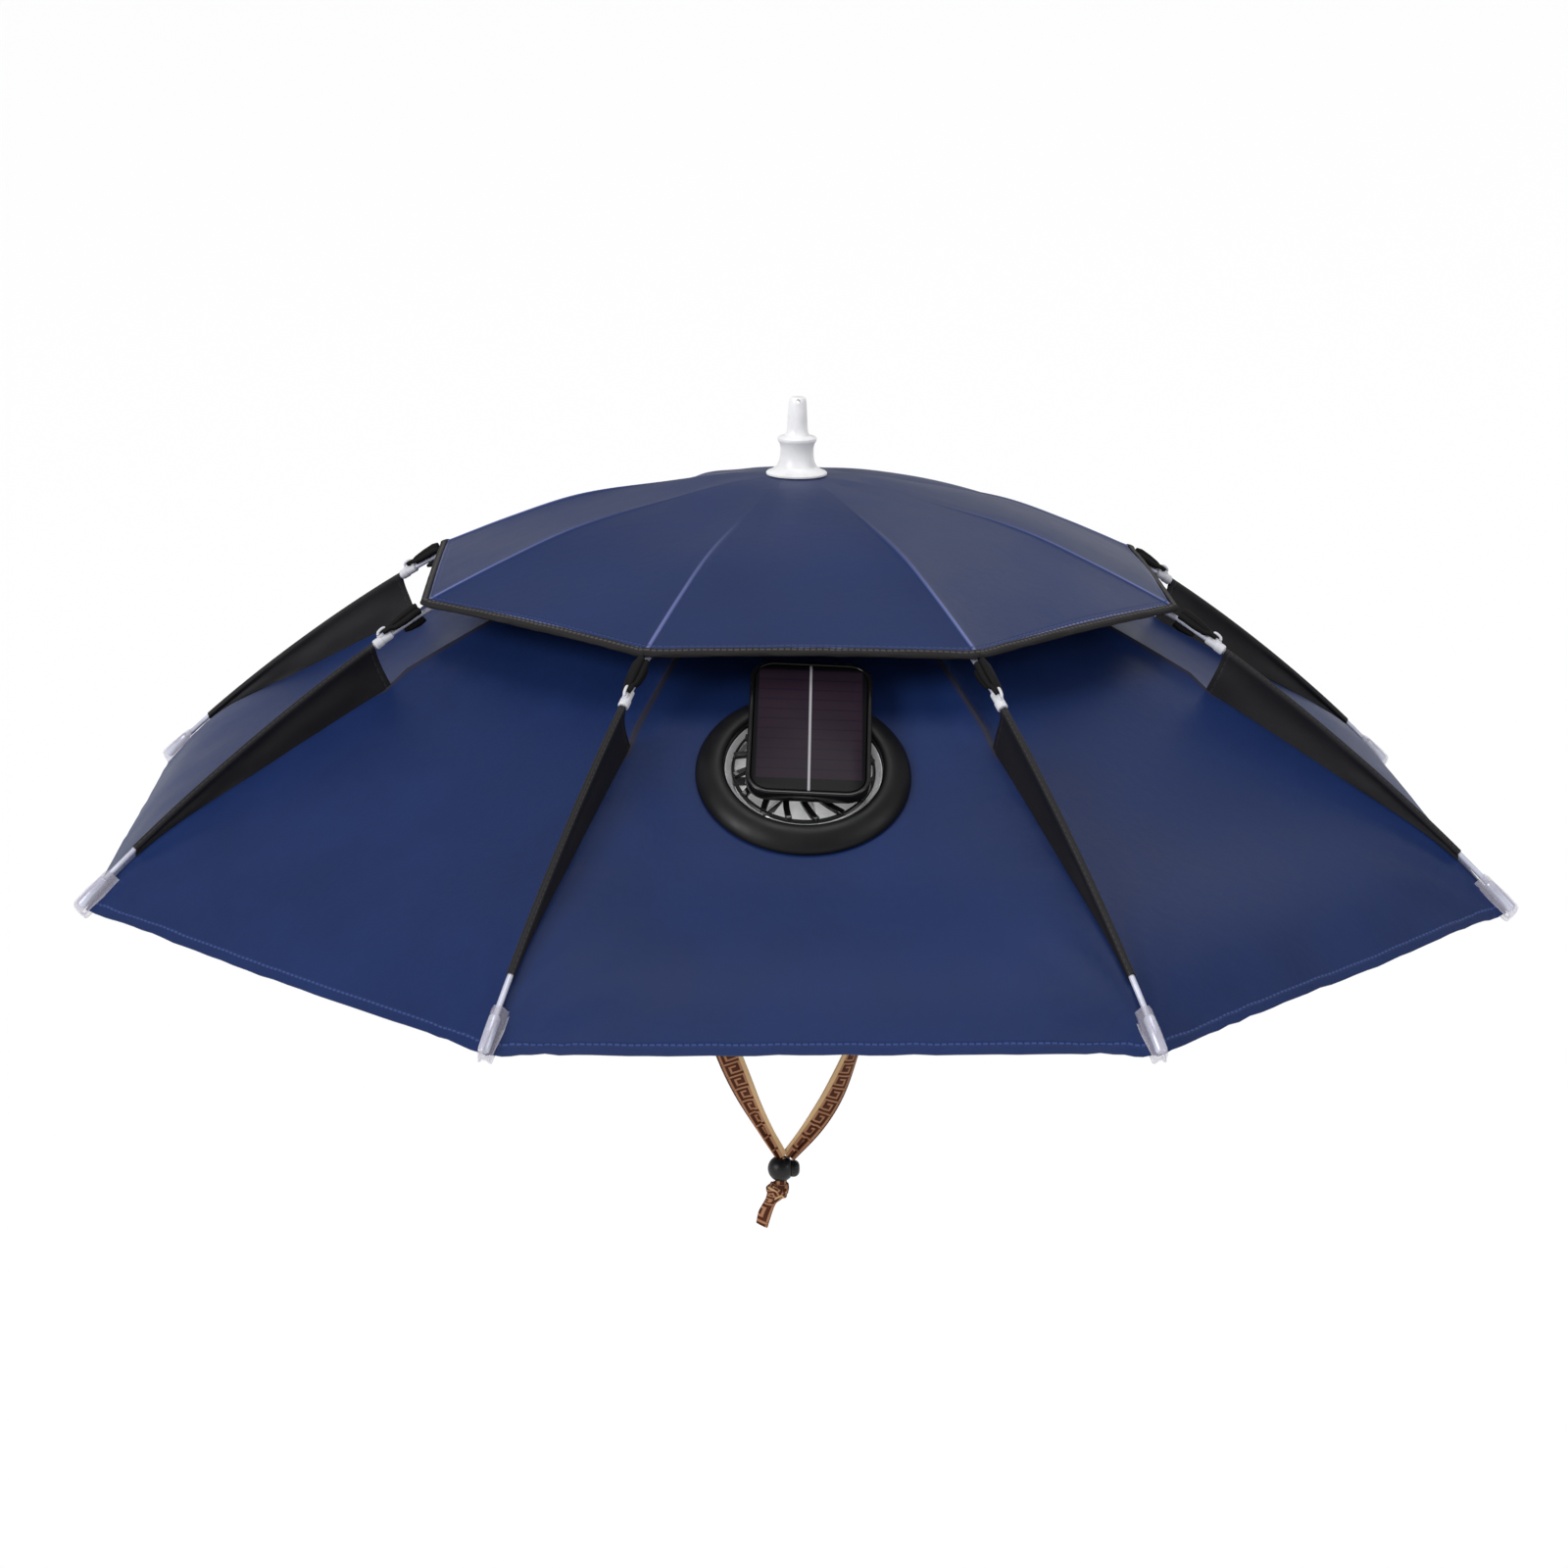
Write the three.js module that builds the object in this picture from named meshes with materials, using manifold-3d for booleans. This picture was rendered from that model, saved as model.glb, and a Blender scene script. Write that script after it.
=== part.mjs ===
// Umbrella hat: a two-tier vented canopy on eight ribs, with a small fan and its solar panel in
// the front panel, a headband under the hub and a chin strap with a cord lock.
// Millimetres, +Z up, the front faces -Y. The origin is on the axis, half-way up the headband.

import * as THREE from 'three';
import { mergeVertices } from 'three/addons/utils/BufferGeometryUtils.js';
import Module from 'manifold-3d';

const wasm = await Module();
wasm.setup();

// Clearances and cloth: the slack is what the flats of a faceted round piece take from a gap
const gap = 0.3;
const facetSlack = 0.1;
const clothThickness = 1.4;

// Frame: ribs bend down from the hub to the hem corners
const ribCount = 8;
const canopyRadius = 383;
const hubHeight = 178;
const ribBend = 2.283;
const ribEase = 4.8;
const ribRadius = 1.4;
const ribEndRadius = 2.7;
const ribEndLength = 13;
const ribOverrun = 2.6;
const ribInnerShares = [0.36, 0.62, 0.85];
const seatAboveHem = 62;

// Hub and finial
const hubRadius = 15.7;
const hubDepth = 10;
const apexLift = 16.5;
const postRadius = 8;
const postReach = 11;
const finialHeight = 40;
const finialFlangeRadius = 16;
const finialBodyRadius = 9;
const finialShankRadius = 5.3;

// Upper canopy and its edge binding
const upperRadius = 207;
const upperLift = 5.1;
const bindingWidth = 4.5;
const bindingWall = 0.9;

// Lower canopy: it hangs under the ribs, from fins
const ventRadius = 110;
const cornerReach = 26;
const finDepth = 24;
const fanSag = 6;
const fanMargin = 6;
const patchMargin = 4.5;
const patchShare = 0.92;
const finSlant = 9;
const finFootHalf = 0.8;
const finWall = 0.7;

// Rib clips, hooks and the elastic loops at the upper corners
const clipRun = 20;
const clipWall = 0.65;
const hookWidth = 2.2;
const hookReach = 9;
const hookStock = 1.4;
const hookHeel = 1;
const hookBite = 0.25;
const hookFootShare = 0.74;
const loopRun = 11;
const loopWidth = 5;
const loopStock = 1.7;
const loopCollar = 2.5;
const loopSplay = 0.5;

// Clear pockets at the hem corners
const pocketWidth = 10.5;
const pocketLength = 22;
const pocketFlap = 13;
const pocketWall = 0.9;

// Fan unit, in the front panel
const fanFromHem = 146.8;
const fanAside = -4.4;
const flangeRadius = 50.6;
const flangeHeight = 8;
const ductRadius = 37.2;
const ductWall = 2.4;
const ductDepth = 24;
const nutWidth = 8;
const nutHeight = 3;
const guardHeight = 2.5;
const guardInset = 2;
const guardRimWidth = 3.5;
const guardHubRadius = 14;
const vaneCount = 16;
const vaneWidth = 2.2;
const vaneLean = 22;
const bladeCount = 7;
const rotorRadius = 34;
const rotorHubRadius = 11.5;
const rotorHeight = 10;
const bladePitch = 32;
const bladeStock = 1.2;
const rotorClear = 3;
const rotorCrown = 2;
const shaftRadius = 1.5;
const shaftClear = 1;
const motorRadius = 10;
const motorHeight = 9;
const motorClear = 1.5;
const spokeWidth = 4;

// Solar panel, standing on the hub of the guard
const panelWidth = 58;
const panelLength = 81;
const panelHeight = 6;
const panelCorner = 8;
const panelRim = 2.2;
const panelStandoff = 4;
const panelShiftAcross = 3;
const panelShiftUp = 17;
const cellHeight = 1.2;
const panelPostRadius = 8;

// Headband and the frame that carries it
const bandRadius = 88;
const bandWall = 2.2;
const bandHeight = 34;
const armCount = 4;
const armWidth = 10;
const armStock = 2;
const armLap = 26;
const crownPlateInset = 2;
const crownPlateHeight = 8;

// Chin strap, cord lock and tail
const strapWidth = 14;
const strapStock = 1.4;
const lockDrop = 259;
const lockAside = -2.5;
const lockRadius = 7.4;
const lockBore = 3.2;
const buttonRadius = 4.8;
const buttonStart = 5.2;
const buttonLength = 5.6;
const buttonPocket = 3.3;
const tailLength = 27;
const knotRadius = 5;

const half = Math.PI / ribCount;
const flatShare = Math.cos(half);

// Solid geometry: closed meshes, joins and cuts

function outward(geometry) {
  const position = geometry.attributes.position;
  const index = Array.from(geometry.index.array);
  const corners = [new THREE.Vector3(), new THREE.Vector3(), new THREE.Vector3()];
  const kept = [];
  let volume = 0;
  for (let i = 0; i < index.length; i += 3) {
    const triangle = index.slice(i, i + 3);
    if (new Set(triangle).size < 3) continue;
    triangle.forEach((vertex, k) => corners[k].fromBufferAttribute(position, vertex));
    volume += corners[0].dot(corners[1].clone().cross(corners[2]));
    kept.push(triangle);
  }
  const facing = volume < 0 ? kept.map(([a, b, c]) => [a, c, b]) : kept;
  geometry.setIndex(facing.flat());
  return geometry;
}

function closed(geometry) {
  const bare = geometry.clone();
  bare.deleteAttribute('normal');
  bare.deleteAttribute('uv');
  return outward(mergeVertices(bare, 1e-4));
}

function toSolid(geometry) {
  const mesh = closed(geometry);
  const vertProperties = new Float32Array(mesh.attributes.position.array);
  const triVerts = new Uint32Array(mesh.index.array);
  return new wasm.Manifold(new wasm.Mesh({ numProp: 3, vertProperties, triVerts }));
}

function toGeometry(solid) {
  const mesh = solid.getMesh();
  const geometry = new THREE.BufferGeometry();
  geometry.setAttribute('position', new THREE.BufferAttribute(mesh.vertProperties, 3));
  geometry.setIndex(new THREE.BufferAttribute(mesh.triVerts, 1));
  return geometry;
}

function join(...parts) {
  return toGeometry(parts.map(toSolid).reduce((all, next) => all.add(next)));
}

function cut(body, ...tools) {
  return toGeometry(tools.map(toSolid).reduce((left, tool) => left.subtract(tool), toSolid(body)));
}

// Rings of points joined by flat faces, with a face at each end
function loft(rings) {
  const count = rings[0].length;
  const last = (rings.length - 1) * count;
  const index = [];
  for (let i = 0; i < last; i += count) {
    for (let j = 0; j < count; j += 1) {
      const next = (j + 1) % count;
      index.push(i + j, i + next, i + count + next, i + j, i + count + next, i + count + j);
    }
  }
  for (let j = 1; j + 1 < count; j += 1) {
    index.push(0, j + 1, j, last, last + j, last + j + 1);
  }
  const geometry = new THREE.BufferGeometry().setFromPoints(rings.flat());
  geometry.setIndex(index);
  return outward(geometry);
}

// An outline in the upright plane of a rib (outwards, up), with a width across that plane
function upright(outline, width) {
  const shape = new THREE.Shape(outline.map(([out, up]) => new THREE.Vector2(out, up)));
  const geometry = new THREE.ExtrudeGeometry(shape, { depth: width, bevelEnabled: false });
  return geometry.translate(0, 0, -width / 2).rotateX(Math.PI / 2);
}

function turned(outline, segments, start = 0) {
  const points = outline.map(([out, up]) => new THREE.Vector2(out, up));
  return closed(new THREE.LatheGeometry(points, segments, start).rotateX(Math.PI / 2));
}

// A closed outline of (corner radius, height) carried round the axis in straight stretches
function eightSided(outline) {
  return turned([...outline, outline[0]], ribCount, half);
}

// A round ring between two radii and two heights
function hoop(inner, outer, low, high, segments) {
  return turned([[inner, low], [outer, low], [outer, high], [inner, high], [inner, low]], segments);
}

function disc(radius, low, high, segments) {
  return turned([[0, low], [radius, low], [radius, high], [0, high]], segments);
}

function block(lowX, highX, lowY, highY, lowZ, highZ) {
  const box = new THREE.BoxGeometry(highX - lowX, highY - lowY, highZ - lowZ);
  return box.translate((lowX + highX) / 2, (lowY + highY) / 2, (lowZ + highZ) / 2);
}

const hat = new THREE.Group();
hat.position.z = -seatAboveHem;

function place(name, geometry, parent, color, roughness, metalness = 0) {
  const material = new THREE.MeshStandardMaterial({ color, roughness, metalness });
  const mesh = new THREE.Mesh(geometry, material);
  mesh.name = name;
  mesh.geometry.computeVertexNormals();
  parent.add(mesh);
  return mesh;
}

// Rib line: height of a rib's centre above the hem, at a distance from the axis. Outside the
// upper canopy the fin pulls the rib down, by the most half-way to the hem

const ribStandoff = (ribEndRadius + 2 * gap) * Math.SQRT2;

function ribHeight(radius) {
  const bow = (hubHeight - ribStandoff) * (radius / canopyRadius) ** ribBend;
  const outside = THREE.MathUtils.clamp((radius - upperRadius) / (canopyRadius - upperRadius), 0, 1);
  return hubHeight - bow - ribEase * Math.sin(Math.PI * outside);
}

// The clip starts outside the upper canopy's edge, and the fin outside the clip
const clipRadius = upperRadius + loopRun;
const finTopRadius = clipRadius + clipRun;
const finFootRadius = finTopRadius - finSlant;
const finEndRadius = canopyRadius - cornerReach;
const fanRadius = canopyRadius - fanFromHem;
const fanOuterRow = fanRadius + flangeRadius + fanMargin;
const fanInnerRow = fanRadius - flangeRadius - fanMargin;

// The fin's foot stations follow the canopy's bends, and its top stations share them out
const finFootStations = [
  finFootRadius,
  (finFootRadius + fanOuterRow) / 2,
  fanOuterRow,
  (fanOuterRow + finEndRadius) / 2,
  finEndRadius,
];

function finTopStation(footRadius) {
  const share = (footRadius - finFootRadius) / (finEndRadius - finFootRadius);
  return finTopRadius + share * (finEndRadius - finTopRadius);
}

const ribEnd = canopyRadius + ribOverrun;
const ribStations = [
  hubRadius + gap,
  ...ribInnerShares.map((share) => share * upperRadius),
  (upperRadius + clipRadius) / 2,
  ...finFootStations.map(finTopStation),
  ribEnd,
];
const ribLine = ribStations.map((radius) => new THREE.Vector2(radius, ribHeight(radius)));

// The point of the rib's straight stretches at a distance from the axis
function onRibLine(radius) {
  const next = Math.max(1, ribLine.findIndex((point) => point.x >= radius));
  const before = ribLine[next - 1];
  return before.clone().lerp(ribLine[next], (radius - before.x) / (ribLine[next].x - before.x));
}

// A six-sided tube along the rib, between two distances from the axis
function alongRib(tubeRadius, from, to) {
  const between = ribLine.filter((point) => point.x > from + gap && point.x < to - gap);
  const centres = [onRibLine(from), ...between, onRibLine(to)];
  const rings = centres.map((centre, i) => {
    const before = centres[Math.max(0, i - 1)];
    const after = centres[Math.min(centres.length - 1, i + 1)];
    const slope = Math.atan2(after.y - before.y, after.x - before.x);
    return [0, 1, 2, 3, 4, 5].map((side) => {
      const turn = (side * Math.PI) / 3;
      const rise = tubeRadius * Math.sin(turn);
      return new THREE.Vector3(
        centre.x - rise * Math.sin(slope),
        tubeRadius * Math.cos(turn),
        centre.y + rise * Math.cos(slope),
      );
    });
  });
  return loft(rings);
}

const ribClear = ribRadius + gap + facetSlack;
const ribChannel = alongRib(ribClear, upperRadius - bindingWidth, finEndRadius + bindingWidth);

// Lower canopy rows: hang is the share of the fin's depth that the cloth hangs under the rib,
// sag the share of the fan's sag that the middle of the front panel drops
const lowerRows = [
  { radius: canopyRadius, hang: 0, sag: 0 },
  { radius: finEndRadius, hang: -0.04, sag: 0.25 },
  { radius: fanOuterRow, hang: 0.505, sag: 1 },
  { radius: fanInnerRow, hang: 0.886, sag: -0.17 },
  { radius: ventRadius, hang: 0.556, sag: 0 },
].map((row) => ({
  ...row,
  height: ribHeight(row.radius) - ribStandoff - finDepth * row.hang,
}));

function seamHeight(radius) {
  const next = Math.max(1, lowerRows.findIndex((row) => row.radius <= radius));
  const outer = lowerRows[next - 1];
  const inner = lowerRows[next];
  const share = (outer.radius - radius) / (outer.radius - inner.radius);
  return outer.height + share * (inner.height - outer.height);
}

// Columns of the lower canopy: the eight seams, and two more beside the fan
function seamColumn(corner) {
  const angle = -Math.PI / 2 + half * (2 * corner + 1);
  const across = Math.cos(angle);
  const along = Math.sin(angle);
  return lowerRows.map((row) => new THREE.Vector3(row.radius * across, row.radius * along, row.height));
}

function fanColumn(side) {
  return lowerRows.map((row) => {
    const patchHalf = flangeRadius + patchMargin + side * fanAside;
    const halfWidth = Math.min(patchHalf, patchShare * row.radius * Math.sin(half));
    return new THREE.Vector3(side * halfWidth, -row.radius * flatShare, row.height - fanSag * row.sag);
  });
}

function lowerCanopy() {
  const seams = Array.from({ length: ribCount }, (_, corner) => seamColumn(corner));
  const columns = [...seams, fanColumn(-1), fanColumn(1)];
  const rings = columns.map((column) => {
    const under = column.map((point) => point.clone().setZ(point.z - clothThickness)).reverse();
    return [...column, ...under];
  });
  const count = rings[0].length;
  const index = [];
  rings.forEach((ring, i) => {
    const here = i * count;
    const there = ((i + 1) % rings.length) * count;
    for (let j = 0; j < count; j += 1) {
      const next = (j + 1) % count;
      index.push(here + j, there + j, there + next, here + j, there + next, here + next);
    }
  });
  const geometry = new THREE.BufferGeometry().setFromPoints(rings.flat());
  geometry.setIndex(index);
  return outward(geometry);
}

// Fan frame: on the middle of the flat stretch of the front panel, facing out along its normal
function onFrontPanel(row) {
  return new THREE.Vector3(fanAside, -row.radius * flatShare, row.height - fanSag * row.sag);
}

const fanLow = onFrontPanel(lowerRows[2]);
const fanHigh = onFrontPanel(lowerRows[3]);
const fanTilt = Math.atan2(fanHigh.z - fanLow.z, fanHigh.y - fanLow.y);
const fanUnit = new THREE.Group();
fanUnit.position.copy(fanLow).lerp(fanHigh, 0.5);
fanUnit.rotation.x = fanTilt;
fanUnit.updateMatrix();
hat.add(fanUnit);

const holeRadius = ductRadius + ductWall + gap + facetSlack;
const fanHole = disc(holeRadius, -ductDepth, ductDepth, 32).applyMatrix4(fanUnit.matrix);
place('lower_canopy', cut(lowerCanopy(), fanHole), hat, 0x25376a, 0.6);

// Upper canopy: out is a share of its radius, drop a share of its fall from apex to corner
const apexHeight = hubHeight + apexLift;
const upperCorner = ribHeight(upperRadius) + upperLift;
const postClear = (postRadius + gap) / flatShare;
const upperRows = [
  { out: postClear / upperRadius, drop: 0 },
  { out: 0.362, drop: 0.18 },
  { out: 0.6135, drop: 0.4 },
  { out: 0.797, drop: 0.665 },
  { out: 1, drop: 1 },
].map((row) => [row.out * upperRadius, apexHeight - row.drop * (apexHeight - upperCorner)]);

function upperCanopy() {
  const under = upperRows.map(([out, up]) => [out, up - clothThickness]).reverse();
  return eightSided([...upperRows, ...under]);
}

place('top_canopy', upperCanopy(), hat, 0x27396c, 0.6);

// Binding: a folded tape round the edge of the upper canopy
function binding() {
  const [before, edge] = upperRows.slice(-2);
  const slope = Math.atan2(edge[1] - before[1], edge[0] - before[0]);
  const slotEnd = clothThickness * Math.sin(-slope) + gap;
  const slotTop = gap;
  const slotBottom = -clothThickness * Math.cos(slope) - gap;
  const outline = [
    [-bindingWidth, slotTop + bindingWall],
    [slotEnd + bindingWall, slotTop + bindingWall],
    [slotEnd + bindingWall, slotBottom - bindingWall],
    [-bindingWidth, slotBottom - bindingWall],
    [-bindingWidth, slotBottom],
    [slotEnd, slotBottom],
    [slotEnd, slotTop],
    [-bindingWidth, slotTop],
  ];
  return eightSided(outline.map(([along, over]) => [
    edge[0] + along * Math.cos(slope) - over * Math.sin(slope),
    edge[1] + along * Math.sin(slope) + over * Math.cos(slope),
  ]));
}

place('top_binding', binding(), hat, 0x26262a, 0.85);

// Hub with its post, and the finial that clamps the upper canopy on it
const [upperStart, upperNext] = upperRows;
const hubShare = (hubRadius / flatShare - upperStart[0]) / (upperNext[0] - upperStart[0]);
const hubTop = upperStart[1] + hubShare * (upperNext[1] - upperStart[1]) - clothThickness - gap;
const hubLow = hubHeight - hubDepth;
const finialBase = apexHeight + gap;
const hubOutline = [
  [0, hubLow],
  [hubRadius, hubLow],
  [hubRadius, hubTop],
  [postRadius, hubTop],
  [postRadius, finialBase + postReach],
  [0, finialBase + postReach],
];
place('hub', turned(hubOutline, 24), hat, 0x222226, 0.55);

// Outside of the finial: out is a share of the radius named, up a share of its height
const finialShape = [
  { radius: finialFlangeRadius, out: 1, up: 0 },
  { radius: finialFlangeRadius, out: 1, up: 0.03 },
  { radius: finialFlangeRadius, out: 0.78, up: 0.07 },
  { radius: finialBodyRadius, out: 1.07, up: 0.13 },
  { radius: finialBodyRadius, out: 1, up: 0.2 },
  { radius: finialBodyRadius, out: 1, up: 0.38 },
  { radius: finialBodyRadius, out: 1.11, up: 0.41 },
  { radius: finialBodyRadius, out: 1.11, up: 0.46 },
  { radius: finialShankRadius, out: 1.23, up: 0.51 },
  { radius: finialShankRadius, out: 1, up: 0.55 },
  { radius: finialShankRadius, out: 0.89, up: 0.86 },
  { radius: finialShankRadius, out: 0.7, up: 0.97 },
  { radius: finialShankRadius, out: 0, up: 1 },
];
const finialOutline = [
  [0, finialBase + postReach + gap],
  [postRadius + gap, finialBase + postReach + gap],
  [postRadius + gap, finialBase],
  ...finialShape.map((row) => [row.out * row.radius, finialBase + row.up * finialHeight]),
];
place('finial', turned(finialOutline, 20), hat, 0xe4e5e8, 0.35);

// Ribs and what each rib carries: fin, clip with its hook, elastic loop and corner pocket

function rib() {
  const rod = alongRib(ribRadius, hubRadius + gap, ribEnd - 1);
  return join(rod, alongRib(ribEndRadius, ribEnd - ribEndLength, ribEnd));
}

// Cloth folded over the rib and sewn into the seam below it
function fin() {
  const outerHalf = ribClear + finWall;
  const rings = finFootStations.map((footRadius) => {
    const foot = new THREE.Vector2(footRadius, seamHeight(footRadius) + gap);
    const top = onRibLine(finTopStation(footRadius));
    const rise = top.clone().sub(foot).normalize();
    const right = [
      [0, finFootHalf, foot],
      [-0.7 * ribRadius, outerHalf, top],
      [0.8 * ribRadius, outerHalf, top],
      [outerHalf, 0.5 * outerHalf, top],
    ];
    const left = right.map(([up, across, from]) => [up, -across, from]).reverse();
    return [...right, ...left].map(([up, across, from]) => (
      new THREE.Vector3(from.x + up * rise.x, across, from.y + up * rise.y)
    ));
  });
  return cut(loft(rings), ribChannel);
}

// Pieces on the rib at the clip are drawn along the rib's straight stretch there
const clipStart = onRibLine(clipRadius);
const clipFinish = onRibLine(finTopRadius - 2 * gap);
const clipLength = clipStart.distanceTo(clipFinish);
const clipSlope = Math.atan2(clipStart.y - clipFinish.y, clipFinish.x - clipStart.x);
const sleeveRadius = ribClear + clipWall;
const sleeveTop = sleeveRadius * Math.sin(Math.PI / 3);
const hookFoot = hookFootShare * clipLength;
const hookHeelAt = hookFoot - hookStock - hookHeel;
const hookUnder = sleeveTop + loopStock + 4 * gap;

function onClip(geometry) {
  return geometry.rotateY(clipSlope).translate(clipStart.x, 0, clipStart.y);
}

function clip() {
  const sleeve = alongRib(sleeveRadius, clipRadius, finTopRadius - 2 * gap);
  const hook = upright([
    [hookHeelAt, sleeveTop - hookBite],
    [hookFoot, sleeveTop - hookBite],
    [hookFoot, hookUnder + 0.4 * hookStock],
    [hookFoot - 0.7 * hookStock, hookUnder + hookStock],
    [hookFoot - hookReach, hookUnder + hookStock],
    [hookFoot - hookReach, hookUnder],
    [hookHeelAt, hookUnder],
  ], hookWidth);
  return cut(join(sleeve, onClip(hook)), ribChannel);
}

function loop() {
  const [edgeRadius] = upperRows[upperRows.length - 1];
  const start = (edgeRadius - clipRadius) / Math.cos(clipSlope) + bindingWall;
  const collar = start + loopCollar;
  const low = -ribClear - 2 * gap;
  const high = sleeveTop + 2 * gap;
  const band = upright([
    [start, low - loopStock - loopSplay],
    [-2 * gap, low - loopStock + loopSplay],
    [-2 * gap, low + loopSplay],
    [collar, low],
    [collar, ribClear + gap],
    [-2 * gap, high],
    [hookHeelAt - gap, high],
    [hookHeelAt - gap, high + loopStock],
    [start, high + loopStock],
  ], loopWidth);
  return cut(onClip(band), ribChannel);
}

// A clear pocket sewn over the hem corner, round the rib's end cap
function pocket() {
  const [edge, inner] = lowerRows;
  const slope = Math.atan2(inner.height - edge.height, edge.radius - inner.radius);
  const hemFace = clothThickness * Math.sin(slope) + gap + facetSlack;
  const sideFall = Math.tan(slope) * Math.tan(half) * 0.5 * pocketWidth;
  const under = -(clothThickness + sideFall) * Math.cos(slope) - gap - facetSlack;
  const axis = ribStandoff * Math.cos(slope);
  const tunnelHalf = ribEndRadius + gap;
  const roof = axis + tunnelHalf;
  const shell = upright([
    [hemFace + pocketWall, under - pocketWall],
    [hemFace + pocketWall, roof],
    [hemFace, roof + pocketWall],
    [hemFace - pocketLength, roof + pocketWall],
    [hemFace - pocketLength, gap],
    [hemFace, gap],
    [hemFace, under],
    [hemFace - pocketFlap, under],
    [hemFace - pocketFlap, under - pocketWall],
  ], pocketWidth);
  const tunnel = block(hemFace - pocketLength - 1, hemFace, -tunnelHalf, tunnelHalf, 0, roof);
  return cut(shell, tunnel).rotateY(slope).translate(edge.radius, 0, edge.height);
}

const ribShape = rib();
const finShape = fin();
const clipShape = clip();
const loopShape = loop();
const pocketShape = pocket();

for (let corner = 0; corner < ribCount; corner += 1) {
  const arm = new THREE.Group();
  arm.rotation.z = -Math.PI / 2 + half * (2 * corner + 1);
  hat.add(arm);
  place(`rib_${corner + 1}`, ribShape.clone(), arm, 0xc9cbd6, 0.4);
  place(`fin_${corner + 1}`, finShape.clone(), arm, 0x1c1c20, 0.85);
  place(`rib_clip_${corner + 1}`, clipShape.clone(), arm, 0xc3c3cb, 0.35);
  place(`corner_loop_${corner + 1}`, loopShape.clone(), arm, 0x1a1a1c, 0.9);
  place(`corner_pocket_${corner + 1}`, pocketShape.clone(), arm, 0xb9bac6, 0.2);
}

// Fan unit, seen along its own axis with the canopy's upper face at zero

const clothDepth = clothThickness * Math.cos(fanTilt);
const ductOuter = ductRadius + ductWall;
const fanSegments = 32;

function flange() {
  return turned([
    [ductRadius, -ductDepth],
    [ductOuter, -ductDepth],
    [ductOuter, gap],
    [flangeRadius, gap],
    [flangeRadius, 0.3 * flangeHeight],
    [flangeRadius - 0.32 * (flangeRadius - ductRadius), 0.75 * flangeHeight],
    [ductRadius + 0.25 * (flangeRadius - ductRadius), flangeHeight],
    [ductRadius, 0.85 * flangeHeight],
    [ductRadius, -ductDepth],
  ], fanSegments);
}

place('fan_flange', flange(), fanUnit, 0x1d1c1f, 0.4);

const nutTop = -clothDepth - gap;
const nut = hoop(ductOuter + gap, ductOuter + gap + nutWidth, nutTop - nutHeight, nutTop, fanSegments);
place('fan_nut', nut, fanUnit, 0x1d1c1f, 0.5);

const guardTop = flangeHeight - guardInset;
const guardLow = guardTop - guardHeight;
const guardRadius = ductRadius - gap;

// A rim, a middle plate and slanting vanes between them, a gap lower than both
function guard() {
  const rim = hoop(guardRadius - guardRimWidth, guardRadius, guardLow, guardTop, fanSegments);
  const middle = disc(guardHubRadius, guardLow, guardTop, 16);
  const vaneStart = guardHubRadius - vaneWidth;
  const reach = guardRadius - 0.5 * guardRimWidth - vaneStart;
  const vanes = Array.from({ length: vaneCount }, (_, i) => (
    block(-reach / 2, reach / 2, -vaneWidth / 2, vaneWidth / 2, guardLow + gap, guardTop - gap)
      .rotateZ(THREE.MathUtils.degToRad(vaneLean))
      .translate(vaneStart + reach / 2, 0, 0)
      .rotateZ((2 * Math.PI * i) / vaneCount)
  ));
  return join(rim, middle, ...vanes);
}

place('fan_guard', guard(), fanUnit, 0x1b1b1e, 0.35);

const rotorTop = guardLow - rotorClear;
const rotorLow = rotorTop - rotorHeight;

// Hub with pitched blades, open below for the shaft
function rotor() {
  const core = disc(rotorHubRadius, rotorLow, rotorTop, 14);
  const start = rotorHubRadius - rotorCrown;
  const chord = (rotorHeight - rotorCrown) / Math.sin(THREE.MathUtils.degToRad(bladePitch));
  const blades = Array.from({ length: bladeCount }, (_, i) => (
    block(start, rotorRadius, -chord / 2, chord / 2, -bladeStock / 2, bladeStock / 2)
      .rotateX(THREE.MathUtils.degToRad(bladePitch))
      .translate(0, 0, (rotorLow + rotorTop) / 2)
      .rotateZ((2 * Math.PI * i) / bladeCount)
  ));
  const shaftHole = disc(shaftRadius + gap + facetSlack, rotorLow - 1, rotorTop - rotorCrown, 8);
  return cut(join(core, ...blades), shaftHole);
}

place('fan_rotor', rotor(), fanUnit, 0xd9dade, 0.4);

// Motor with its shaft, held in the duct by three spokes
function motor() {
  const top = rotorLow - motorClear;
  const spokeEnd = ductRadius - gap - facetSlack;
  const spokeLow = top - motorHeight / 2;
  const can = disc(motorRadius, top - motorHeight, top, 16);
  const shaft = disc(shaftRadius, top - 1, rotorTop - rotorCrown - shaftClear, 8);
  const spokes = [0, 1, 2].map((i) => (
    block(motorRadius / 2, spokeEnd, -spokeWidth / 2, spokeWidth / 2, spokeLow, spokeLow + spokeWidth)
      .rotateZ(Math.PI / 2 + (2 * Math.PI * i) / 3)
  ));
  return join(can, shaft, ...spokes);
}

place('fan_motor', motor(), fanUnit, 0x202024, 0.5);

// Solar panel: a tray with rounded corners on a short post, and the cell plate set in it

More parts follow.
